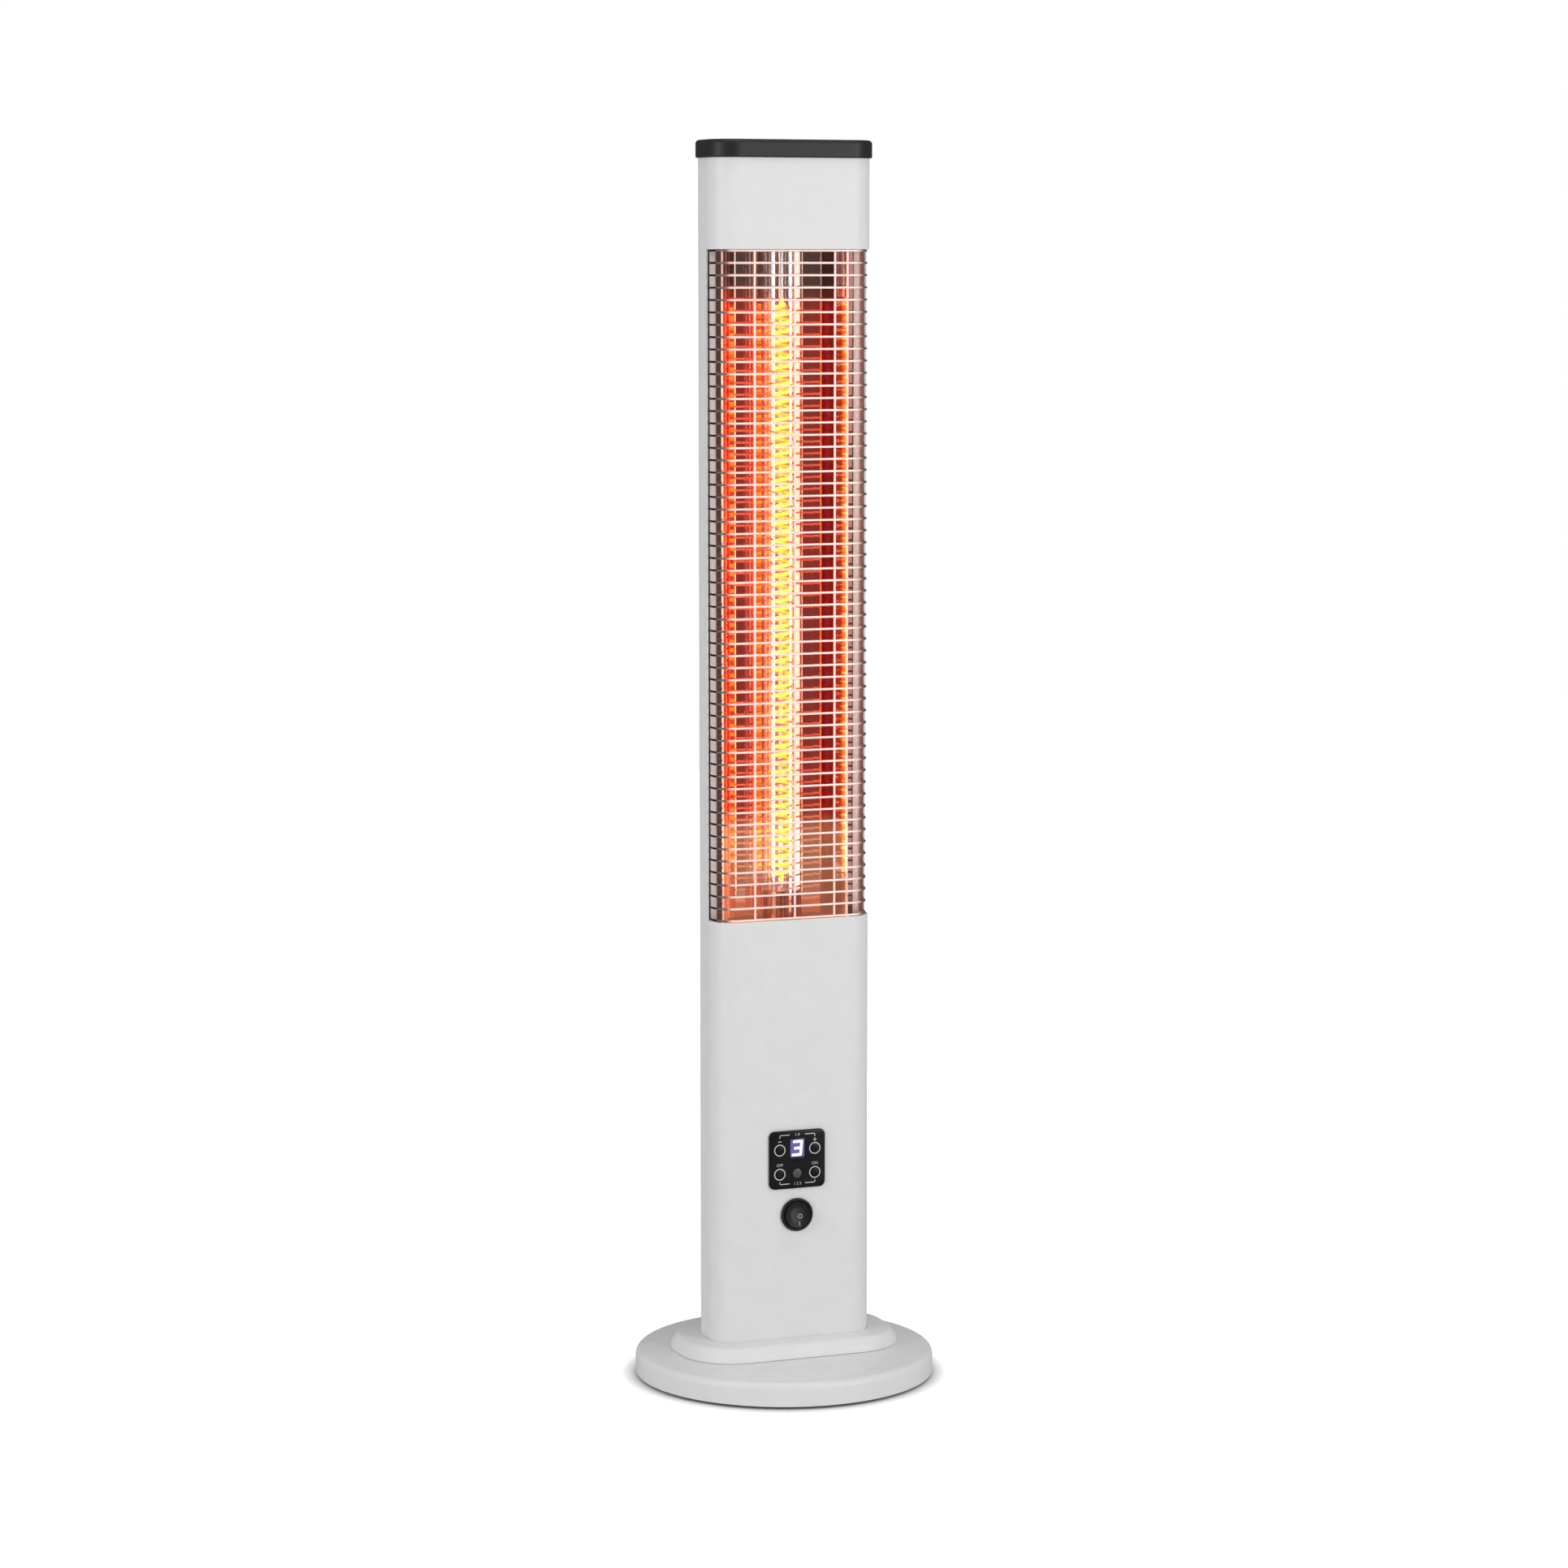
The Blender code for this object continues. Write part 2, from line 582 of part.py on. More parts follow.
def build_pedestal(mats):
    """The collar that the column stands in, and the plate bolted inside."""
    rise = PEDESTAL_TOP - PEDESTAL_BOTTOM
    spread = PEDESTAL_SPREAD_FOOT - PEDESTAL_SPREAD_TOP
    sections = []
    for up, inward in PEDESTAL_FLANK:
        offset = PEDESTAL_SPREAD_FOOT - spread * inward
        sections.append(flat(column_outline(offset), PEDESTAL_BOTTOM + rise * up))
    sections.append(flat(column_outline(GAP), PEDESTAL_TOP))
    sections.append(flat(column_outline(GAP), RECESS_FLOOR))
    pedestal = add_object("pedestal", loft(sections), mats["white_paint"])

    plate_bottom = RECESS_FLOOR + GAP
    plate_top = plate_bottom + FOOT_PLATE_SHEET
    inner = inner_outline()
    plate_bm = loft([flat(inner, plate_bottom), flat(inner, plate_top)])
    plate = add_object("foot_plate", plate_bm, mats["galvanised"])
    for side, label in ((-1, "left"), (1, "right")):
        x = side * BOLT_SPREAD
        for obj in (pedestal, plate):
            hole = rod(BOLT_RADIUS + GAP, 0, 2 * plate_top)
            boolean(obj, add_tool(f"{obj.name}_bolt_hole_{label}", hole, (x, 0, 0)), "DIFFERENCE")
        head_top = BASE_CEILING - GAP
        head_bottom = head_top - BOLT_HEAD_HEIGHT
        tip = plate_top + BOLT_TIP
        profile = [(0, head_bottom), (BOLT_HEAD_RADIUS, head_bottom), (BOLT_HEAD_RADIUS, head_top)]
        profile += [(BOLT_RADIUS, head_top), (BOLT_RADIUS, tip), (0, tip)]
        add_object(f"base_bolt_{label}", lathe(profile, SMALL_STEPS), mats["steel"], (x, 0, 0))

    half_x = TILT_WIDTH / 2
    half_y = TILT_DEPTH / 2
    seat = plate_top + GAP
    tilt_bm = box((-half_x, -half_y, seat), (half_x, half_y, seat + TILT_HEIGHT))
    bmesh.ops.bevel(tilt_bm, geom=tilt_bm.edges[:], offset=TILT_EDGE, segments=1, affect="EDGES")
    add_object("tilt_switch", tilt_bm, mats["black_plastic"], (0, TILT_Y, 0))


def build_housing(mats):
    """The sheet column with its window, flanges and openings."""
    outer = column_outline()
    inner = column_outline(-COLUMN_WALL)
    levels = (COLUMN_BOTTOM, COLUMN_TOP)
    sections = [flat(outer, z) for z in levels] + [flat(inner, z) for z in levels[::-1]]
    housing = add_object("housing", loft(sections, closed=True), mats["white_paint"])

    wide = COLUMN_WIDTH
    window = box((-wide, -wide, WINDOW_BOTTOM), (wide, WINDOW_SIDE_EDGE, WINDOW_TOP))
    boolean(housing, add_tool("window_cut", window), "DIFFERENCE")

    flange_outer = COLUMN_WIDTH / 2 - COLUMN_WALL + OVERLAP
    strips = []
    for side in (-1, 1):
        low_x, high_x = sorted((side * FLANGE_INNER, side * flange_outer))
        low = (low_x, FLANGE_FRONT, MIRROR_BOTTOM)
        strips.append(box(low, (high_x, FLANGE_FRONT + COLUMN_WALL, MIRROR_TOP)))
    boolean(housing, add_tool("window_flanges", merged(*strips)), "UNION")

    plate_hole = outline(SKIRT_WIDTH, SKIRT_HEIGHT, SKIRT_CORNER, GAP, CORNER_STEPS)
    hole_depths = (FRONT_Y - COLUMN_WALL, FRONT_Y + 2 * COLUMN_WALL)
    hole_bm = loft([upright(plate_hole, y) for y in hole_depths])
    boolean(housing, add_tool("plate_opening", hole_bm, (0, 0, PLATE_Z)), "DIFFERENCE")

    barrel_hole = facing_front(rod(BARREL_RADIUS + GAP, -2 * COLUMN_WALL, COLUMN_WALL, ROUND_STEPS))
    boolean(housing, add_tool("switch_hole", barrel_hole, (0, FRONT_Y, SWITCH_Z)), "DIFFERENCE")

    reach = 2 * COLUMN_WALL
    rear_low = (-OPENING_HALF, REAR_Y - reach, OPENING_BOTTOM)
    rear_parts = [box(rear_low, (OPENING_HALF, REAR_Y + reach, OPENING_TOP))]
    for x, z in rear_screw_places():
        hole = facing_rear(rod(SCREW_RADIUS + SCREW_HOLE_EASE, -reach, reach))
        rear_parts.append(moved(hole, (x, REAR_Y, z)))
    gland_hole = facing_rear(rod(GLAND_BARREL_RADIUS + GAP, -reach, reach, HOLE_STEPS))
    rear_parts.append(moved(gland_hole, (0, REAR_Y, GLAND_Z)))
    boolean(housing, add_tool("rear_openings", merged(*rear_parts)), "DIFFERENCE")


def rear_screw_places():
    """The four corners where the rear cover is screwed on."""
    x = OPENING_HALF + COVER_MARGIN / 2
    low = OPENING_BOTTOM - COVER_MARGIN / 2
    high = OPENING_TOP + COVER_MARGIN / 2
    return [(-x, low), (x, low), (-x, high), (x, high)]


def build_cap(mats):
    """The dark lid, with a spigot that plugs the column's top."""
    spigot = -COLUMN_WALL - GAP
    inside = spigot - CAP_WALL
    bottom = COLUMN_TOP + GAP
    top = COLUMN_TOP + CAP_HEIGHT
    sections = [flat(column_outline(inside), top - CAP_ROOF)]
    sections.append(flat(column_outline(inside), COLUMN_TOP - CAP_SPIGOT))
    sections.append(flat(column_outline(spigot), COLUMN_TOP - CAP_SPIGOT))
    sections.append(flat(column_outline(spigot), bottom))
    sections.append(flat(column_outline(CAP_OVERHANG), bottom))
    for step in range(3):
        angle = step / 2 * math.pi / 2
        offset = CAP_OVERHANG - CAP_ROUND + CAP_ROUND * math.cos(angle)
        height = top - CAP_ROUND + CAP_ROUND * math.sin(angle)
        sections.append(flat(column_outline(offset), height))
    add_object("top_cap", loft(sections), mats["dark_cap"])


def guard_path(inset):
    """Level path of one guard wire, from rod to rod round both corners."""
    half_x = COLUMN_WIDTH / 2 - COLUMN_WALL - inset
    front = FRONT_Y + COLUMN_WALL + inset
    radius = COLUMN_CORNER - COLUMN_WALL - inset
    start = Vector((-half_x, rod_y(), 0))
    points = [start]
    for side in (-1, 1):
        for step in range(GUARD_CORNER_STEPS + 1):
            share = step / GUARD_CORNER_STEPS
            angle = math.pi + share * math.pi / 2 + (side + 1) / 2 * math.pi / 2
            centre = Vector((side * (half_x - radius), front + radius, 0))
            points.append(centre + radius * Vector((math.cos(angle), math.sin(angle), 0)))
    points.append(Vector((half_x, rod_y(), 0)))
    return points


def rod_y():
    """Depth of the guard's end rods, which lie against the window flanges."""
    return FLANGE_FRONT - GAP - ROD_RADIUS


def build_guard(mats):
    """Wires round the window, welded to end rods and to upright stays."""
    inset = WIRE_RADIUS + GAP
    path = guard_path(inset)
    low = WINDOW_BOTTOM + WIRE_RADIUS + GUARD_ROW_MARGIN
    high = WINDOW_TOP - WIRE_RADIUS - GUARD_ROW_MARGIN
    spaces = round((high - low) / GUARD_PITCH)
    rows = []
    for row in range(spaces + 1):
        height = low + (high - low) * row / spaces
        level = [point + Vector((0, 0, height)) for point in path]
        rows.append(sweep(level, WIRE_RADIUS, GUARD_WIRE_SIDES))
    tool = add_tool("guard_rows", merged(*rows))

    stay_bottom = WINDOW_BOTTOM + GAP
    stay_top = WINDOW_TOP - GAP
    uprights = []
    for side in (-1, 1):
        bar = turned(rod(ROD_RADIUS, stay_bottom, stay_top, 4), math.pi / 4, "Z")
        uprights.append(moved(bar, (side * (COLUMN_WIDTH / 2 - COLUMN_WALL - inset), rod_y(), 0)))
    stay_y = FRONT_Y + COLUMN_WALL + inset + 2 * WIRE_RADIUS - GUARD_WELD
    for i in range(GUARD_STAY_COUNT):
        x = (i - (GUARD_STAY_COUNT - 1) / 2) * GUARD_STAY_PITCH
        uprights.append(moved(rod(WIRE_RADIUS, stay_bottom, stay_top, 4), (x, stay_y, 0)))
    guard = add_object("wire_guard", merged(*uprights), mats["chrome"])
    boolean(guard, tool, "UNION")


def mirror_profile():
    """Front face of the folded mirror, from the left flange to the right."""
    flange_y = FLANGE_FRONT - GAP - MIRROR_SHEET
    half = [Vector((MIRROR_FLANGE_OUTER, flange_y))]
    half.append(Vector((MIRROR_LIP_X + MIRROR_LIP_HALF, flange_y)))
    half.append(Vector((MIRROR_LIP_X, flange_y - MIRROR_LIP_RISE)))
    half.append(Vector((MIRROR_LIP_X - MIRROR_LIP_HALF, flange_y)))
    half += [Vector((MIRROR_LIP_X - inside, depth)) for inside, depth in MIRROR_FOLDS]
    half.append(Vector((MIRROR_BACK_HALF, MIRROR_BACK_Y)))
    left = [Vector((-point.x, point.y)) for point in half]
    return left + half[::-1]


def build_mirror(mats):
    """The folded mirror and the two plates that close the lamp chamber."""
    section = thick_profile(mirror_profile(), MIRROR_SHEET)
    points = [(point.x, point.y) for point in section]
    mirror_bm = loft([flat(points, MIRROR_BOTTOM), flat(points, MIRROR_TOP)])
    add_object("reflector", mirror_bm, mats["mirror"])

    inner = inner_outline()
    lower_top = MIRROR_BOTTOM - GAP
    upper_bottom = MIRROR_TOP + GAP
    ends = (("lower", lower_top - END_SHEET, LAMP_CAP_RADIUS), ("upper", upper_bottom, TUBE_RADIUS))
    for name, low, radius in ends:
        plate_bm = loft([flat(inner, low), flat(inner, low + END_SHEET)])
        plate = add_object(f"reflector_end_{name}", plate_bm, mats["mirror"])
        hole = rod(radius + 2 * GAP, low - END_SHEET, low + 2 * END_SHEET, ROUND_STEPS)
        boolean(plate, add_tool(f"reflector_end_{name}_hole", hole, (0, LAMP_Y, 0)), "DIFFERENCE")


def coil_points():
    """Points of the emitter: tail on the axis, run out, turns, run in, tail."""
    points = [Vector((0, 0, COIL_BOTTOM - COIL_TAIL)), Vector((0, 0, COIL_BOTTOM))]
    total = COIL_TURNS * COIL_POINTS
    for step in range(1, total):
        turn = step / COIL_POINTS
        ease = min(1.0, turn / COIL_RUN_IN, (COIL_TURNS - turn) / COIL_RUN_IN)
        radius = COIL_RADIUS * math.sin(ease * math.pi / 2)
        angle = 2 * math.pi * turn
        height = COIL_BOTTOM + COIL_PITCH * turn
        points.append(Vector((radius * math.cos(angle), radius * math.sin(angle), height)))
    points += [Vector((0, 0, COIL_TOP)), Vector((0, 0, COIL_TOP + COIL_TAIL))]
    return points


def least_self_gap(points, radius):
    """Smallest distance between runs of the cord that are not neighbours."""
    apart = COIL_POINTS // 2
    least = math.inf
    for i, point in enumerate(points):
        for other in points[i + apart:i + 3 * COIL_POINTS]:
            least = min(least, (point - other).length - 2 * radius)
    return least


def build_lamp(mats):
    """Quartz tube, wound emitter, its leads, end caps and the two shelves."""
    inside = TUBE_RADIUS - TUBE_WALL
    tube_profile = [(inside, TUBE_BOTTOM), (TUBE_RADIUS, TUBE_BOTTOM)]
    tube_profile += [(TUBE_RADIUS, TUBE_TOP), (inside, TUBE_TOP)]
    tube_bm = lathe(tube_profile, ROUND_STEPS, closed=True)
    add_object("quartz_tube", tube_bm, mats["quartz"], (0, LAMP_Y, 0))

    points = coil_points()
    curve = bpy.data.curves.new("heating_coil", "CURVE")
    curve.dimensions = "3D"
    curve.bevel_depth = CORD_RADIUS
    curve.bevel_resolution = 1
    curve.use_fill_caps = True
    curve.resolution_u = 1
    spline = curve.splines.new("POLY")
    spline.points.add(len(points) - 1)
    for knot, point in zip(spline.points, points):
        knot.co = (*point, 1.0)
    coil = bpy.data.objects.new("heating_coil", curve)
    coil.location = (0, LAMP_Y, 0)
    coil.data.materials.append(mats["glowing_carbon"])
    bpy.context.scene.collection.objects.link(coil)
    print(f"heating_coil least gap to itself: {least_self_gap(points, CORD_RADIUS) * 1000:.2f} mm")

    lower_stop = TUBE_BOTTOM - GAP
    upper_stop = TUBE_TOP + GAP
    lower_tip = lower_stop + LAMP_CAP_SPIGOT
    upper_tip = upper_stop - LAMP_CAP_SPIGOT
    ends = (("lower", LAMP_LOWER_SEAT, lower_stop, lower_tip, 1),
            ("upper", LAMP_UPPER_SEAT, upper_stop, upper_tip, -1))
    for name, seat, stop, tip, way in ends:
        neck = seat - way * LAMP_NECK_LENGTH
        profile = [(0, neck), (LAMP_NECK_RADIUS, neck), (LAMP_NECK_RADIUS, seat)]
        profile += [(LAMP_CAP_RADIUS, seat), (LAMP_CAP_RADIUS, stop)]
        profile += [(inside - GAP, stop), (inside - GAP, tip), (0, tip)]
        cap_bm = lathe(profile, ROUND_STEPS)
        add_object(f"lamp_cap_{name}", cap_bm, mats["lead_metal"], (0, LAMP_Y, 0))

        shelf_face = seat - way * GAP
        shelf_far = shelf_face - way * SHELF_SHEET
        inner = inner_outline()
        shelf_bm = loft([flat(inner, shelf_face), flat(inner, shelf_far)])
        shelf = add_object(f"lamp_shelf_{name}", shelf_bm, mats["galvanised"])
        hole_low = min(shelf_face, shelf_far) - SHELF_SHEET
        hole_high = max(shelf_face, shelf_far) + SHELF_SHEET
        hole = rod(LAMP_NECK_RADIUS + GAP, hole_low, hole_high, HOLE_STEPS)
        boolean(shelf, add_tool(f"lamp_shelf_{name}_hole", hole, (0, LAMP_Y, 0)), "DIFFERENCE")

    lead_ends = (("lower", lower_tip + GAP, COIL_BOTTOM - COIL_TAIL - GAP),
                 ("upper", COIL_TOP + COIL_TAIL + GAP, upper_tip - GAP))
    for name, low, high in lead_ends:
        lead_bm = rod(LEAD_RADIUS, low, high)
        add_object(f"lamp_lead_{name}", lead_bm, mats["lead_metal"], (0, LAMP_Y, 0))

    cutout_top = LAMP_LOWER_SEAT - GAP - SHELF_SHEET - GAP
    cutout_bm = rod(CUTOUT_RADIUS, cutout_top - CUTOUT_HEIGHT, cutout_top, HOLE_STEPS)
    add_object("thermal_cutout", cutout_bm, mats["black_plastic"], (CUTOUT_X, LAMP_Y, 0))


def build_plate(mats):
    """The control plate with its skirt, the display and the infrared lens."""
    face = (PLATE_WIDTH, PLATE_HEIGHT, PLATE_CORNER)
    skirt = (SKIRT_WIDTH, SKIRT_HEIGHT, SKIRT_CORNER)
    sections = [upright(outline(*face, -PLATE_EDGE), PLATE_FRONT)]
    sections.append(upright(outline(*face), PLATE_FRONT + PLATE_EDGE))
    sections.append(upright(outline(*face), PLATE_BACK))
    sections.append(upright(outline(*skirt), PLATE_BACK))
    sections.append(upright(outline(*skirt), SKIRT_END))
    sections.append(upright(outline(*skirt, -SKIRT_WALL), SKIRT_END))
    sections.append(upright(outline(*skirt, -SKIRT_WALL), PLATE_BACK))
    plate = add_object("control_plate", loft(sections), mats["black_gloss"], (0, 0, PLATE_Z))

    reach = 2 * PLATE_PROUD
    tools = []
    for x, z in key_places().values():
        hole = facing_front(rod(KEY_RADIUS + GAP, -reach, reach, HOLE_STEPS))
        tools.append(moved(hole, (x, PLATE_FRONT, z)))
    lens_hole = facing_front(rod(IR_RADIUS + GAP, -reach, reach, HOLE_STEPS))
    tools.append(moved(lens_hole, (0, PLATE_FRONT, KEY_LOWER_Z)))
    display = (DISPLAY_WIDTH, DISPLAY_HEIGHT, DISPLAY_CORNER)
    depths = (PLATE_FRONT - reach, PLATE_FRONT + reach)
    display_hole = loft([upright(outline(*display, GAP, 2), y) for y in depths])
    tools.append(moved(display_hole, (0, 0, DISPLAY_Z)))
    tool = add_tool("plate_holes", merged(*tools), (0, 0, PLATE_Z))
    boolean(plate, tool, "DIFFERENCE")

    window_bm = loft([upright(outline(*display, 0, 2), y) for y in (PLATE_FRONT, PLATE_BACK)])
    add_object("display_window", window_bm, mats["black_gloss"], (0, 0, PLATE_Z + DISPLAY_Z))
    lens_bm = facing_front(rod(IR_RADIUS, -PLATE_PROUD, 0, HOLE_STEPS))
    lens_place = (0, PLATE_FRONT, PLATE_Z + KEY_LOWER_Z)
    add_object("infrared_window", lens_bm, mats["grey_lens"], lens_place)


def key_places():
    """Middle of each key on the plate, from the plate's middle."""
    return {
        "key_timer": (-KEY_X, KEY_UPPER_Z),
        "key_mode": (KEY_X, KEY_UPPER_Z),
        "key_off": (-KEY_X, KEY_LOWER_Z),
        "key_heat": (KEY_X, KEY_LOWER_Z),
    }


def build_keys(mats):
    """Four push keys, each held behind the plate by its own flange."""
    flange_front = -PLATE_PROUD - GAP
    flange_back = flange_front - KEY_FLANGE_SHEET
    tip = flange_back - KEY_STEM_LENGTH
    profile = [(0, tip), (KEY_STEM_RADIUS, tip), (KEY_STEM_RADIUS, flange_back)]
    profile += [(KEY_FLANGE_RADIUS, flange_back), (KEY_FLANGE_RADIUS, flange_front)]
    profile += [(KEY_RADIUS, flange_front), (KEY_RADIUS, 0), (0, 0)]
    for name, (x, z) in key_places().items():
        place = (x, PLATE_FRONT, PLATE_Z + z)
        add_object(name, facing_front(lathe(profile, HOLE_STEPS)), mats["black_gloss"], place)


def build_boards(mats):
    """Control board with its domes, the display module and the power board."""
    half_x = SKIRT_WIDTH / 2 + BOARD_MARGIN
    half_z = SKIRT_HEIGHT / 2 + BOARD_MARGIN
    board_low = (-half_x, BOARD_FRONT, -half_z)
    board_bm = box(board_low, (half_x, BOARD_FRONT + BOARD_SHEET, half_z))
    board = add_object("control_board", board_bm, mats["board_green"], (0, 0, PLATE_Z))
    key_tip = PLATE_BACK + GAP + KEY_FLANGE_SHEET + KEY_STEM_LENGTH
    dome_front = key_tip + KEY_TRAVEL + GAP
    domes = []
    for x, z in key_places().values():
        low = (x - DOME_SIDE / 2, dome_front, z - DOME_SIDE / 2)
        high = (x + DOME_SIDE / 2, BOARD_FRONT + OVERLAP, z + DOME_SIDE / 2)
        domes.append(box(low, high))
    low = (-DOME_SIDE / 2, dome_front, KEY_LOWER_Z - DOME_SIDE / 2)
    high = (DOME_SIDE / 2, BOARD_FRONT + OVERLAP, KEY_LOWER_Z + DOME_SIDE / 2)
    domes.append(box(low, high))
    boolean(board, add_tool("board_domes", merged(*domes), (0, 0, PLATE_Z)), "UNION")

    half_x = DISPLAY_WIDTH / 2 - MODULE_INSET
    half_z = DISPLAY_HEIGHT / 2 - MODULE_INSET
    low = (-half_x, PLATE_BACK + GAP, -half_z)
    high = (half_x, BOARD_FRONT - GAP, half_z)
    module_bm = box(low, high)
    add_object("display_module", module_bm, mats["black_plastic"], (0, 0, PLATE_Z + DISPLAY_Z))

    post_tip = REAR_Y + GAP - POST_LENGTH
    back = post_tip - GAP
    front = back - BOARD_SHEET
    half = POWER_BOARD_WIDTH / 2
    top = POWER_BOARD_BOTTOM + POWER_BOARD_HEIGHT
    power_bm = box((-half, front, POWER_BOARD_BOTTOM), (half, back, top))
    power = add_object("power_board", power_bm, mats["board_green"])
    blocks = []
    for x, up, width, deep, tall in POWER_BLOCKS:
        bottom = POWER_BOARD_BOTTOM + up
        low = (x - width / 2, front - deep, bottom)
        blocks.append(box(low, (x + width / 2, front + OVERLAP, bottom + tall)))
    boolean(power, add_tool("power_blocks", merged(*blocks)), "UNION")


def build_rear_cover(mats):
    """The screwed cover behind the electronics, with the board's posts."""
    width = 2 * (OPENING_HALF + COVER_MARGIN)
    height = OPENING_TOP - OPENING_BOTTOM + 2 * COVER_MARGIN
    middle = (OPENING_TOP + OPENING_BOTTOM) / 2
    front = REAR_Y + GAP
    face = (width, height, COVER_MARGIN)
    sections = [upright(outline(*face, 0, 4), y) for y in (front, front + COVER_SHEET)]
    cover = add_object("rear_cover", loft(sections), mats["white_paint"], (0, 0, middle))
    posts = []
    post_low = POWER_BOARD_BOTTOM + POST_MARGIN
    post_high = POWER_BOARD_BOTTOM + POWER_BOARD_HEIGHT - POST_MARGIN
    for x in (-POST_X, POST_X):
        for z in (post_low, post_high):
            post = facing_front(rod(POST_RADIUS, -OVERLAP, POST_LENGTH))
            posts.append(moved(post, (x, front, z)))
    boolean(cover, add_tool("cover_posts", merged(*posts)), "UNION")
    holes = []
    for x, z in rear_screw_places():
        hole = facing_rear(rod(SCREW_RADIUS + SCREW_HOLE_EASE, -COVER_SHEET, 3 * COVER_SHEET))
        holes.append(moved(hole, (x, REAR_Y, z)))
    boolean(cover, add_tool("cover_screw_holes", merged(*holes)), "DIFFERENCE")

    seat = COVER_SHEET + 2 * GAP
    profile = [(0, seat - SCREW_LENGTH), (SCREW_RADIUS, seat - SCREW_LENGTH), (SCREW_RADIUS, seat)]
    head_top = seat + SCREW_HEAD_HEIGHT
    profile += [(SCREW_HEAD_RADIUS, seat), (SCREW_HEAD_RADIUS, head_top - SCREW_HEAD_CROWN)]
    profile += [(SCREW_HEAD_RADIUS - SCREW_HEAD_CROWN, head_top), (0, head_top)]
    for number, (x, z) in enumerate(rear_screw_places(), 1):
        screw_bm = facing_rear(lathe(profile, SMALL_STEPS))
        add_object(f"rear_screw_{number}", screw_bm, mats["galvanised"], (x, REAR_Y, z))


def build_gland(mats):
    """The bushing that the supply cable would leave by, and its nut."""
    out = GAP + GLAND_FLANGE_SHEET
    profile = [(GLAND_BORE, GAP + GLAND_FLANGE_SHEET - GLAND_LENGTH), (GLAND_BORE, out)]
    profile += [(GLAND_FLANGE_RADIUS - GLAND_FLANGE_SHEET / 2, out)]
    profile += [(GLAND_FLANGE_RADIUS, out - GLAND_FLANGE_SHEET / 2), (GLAND_FLANGE_RADIUS, GAP)]
    profile += [(GLAND_BARREL_RADIUS, GAP)]
    profile += [(GLAND_BARREL_RADIUS, GAP + GLAND_FLANGE_SHEET - GLAND_LENGTH)]
    gland_bm = facing_rear(lathe(profile, HOLE_STEPS, closed=True))
    add_object("cable_gland", gland_bm, mats["black_plastic"], (0, REAR_Y, GLAND_Z))
    nut_top = -COLUMN_WALL - GAP
    outer = ring_points(HOLE_STEPS, NUT_RADIUS)
    bore = ring_points(HOLE_STEPS, GLAND_BARREL_RADIUS + GAP)
    levels = (nut_top - NUT_HEIGHT, nut_top)
    sections = [flat(outer, z) for z in levels] + [flat(bore, z) for z in levels[::-1]]
    nut_bm = facing_rear(loft(sections, closed=True))
    add_object("gland_nut", nut_bm, mats["black_plastic"], (0, REAR_Y, GLAND_Z))


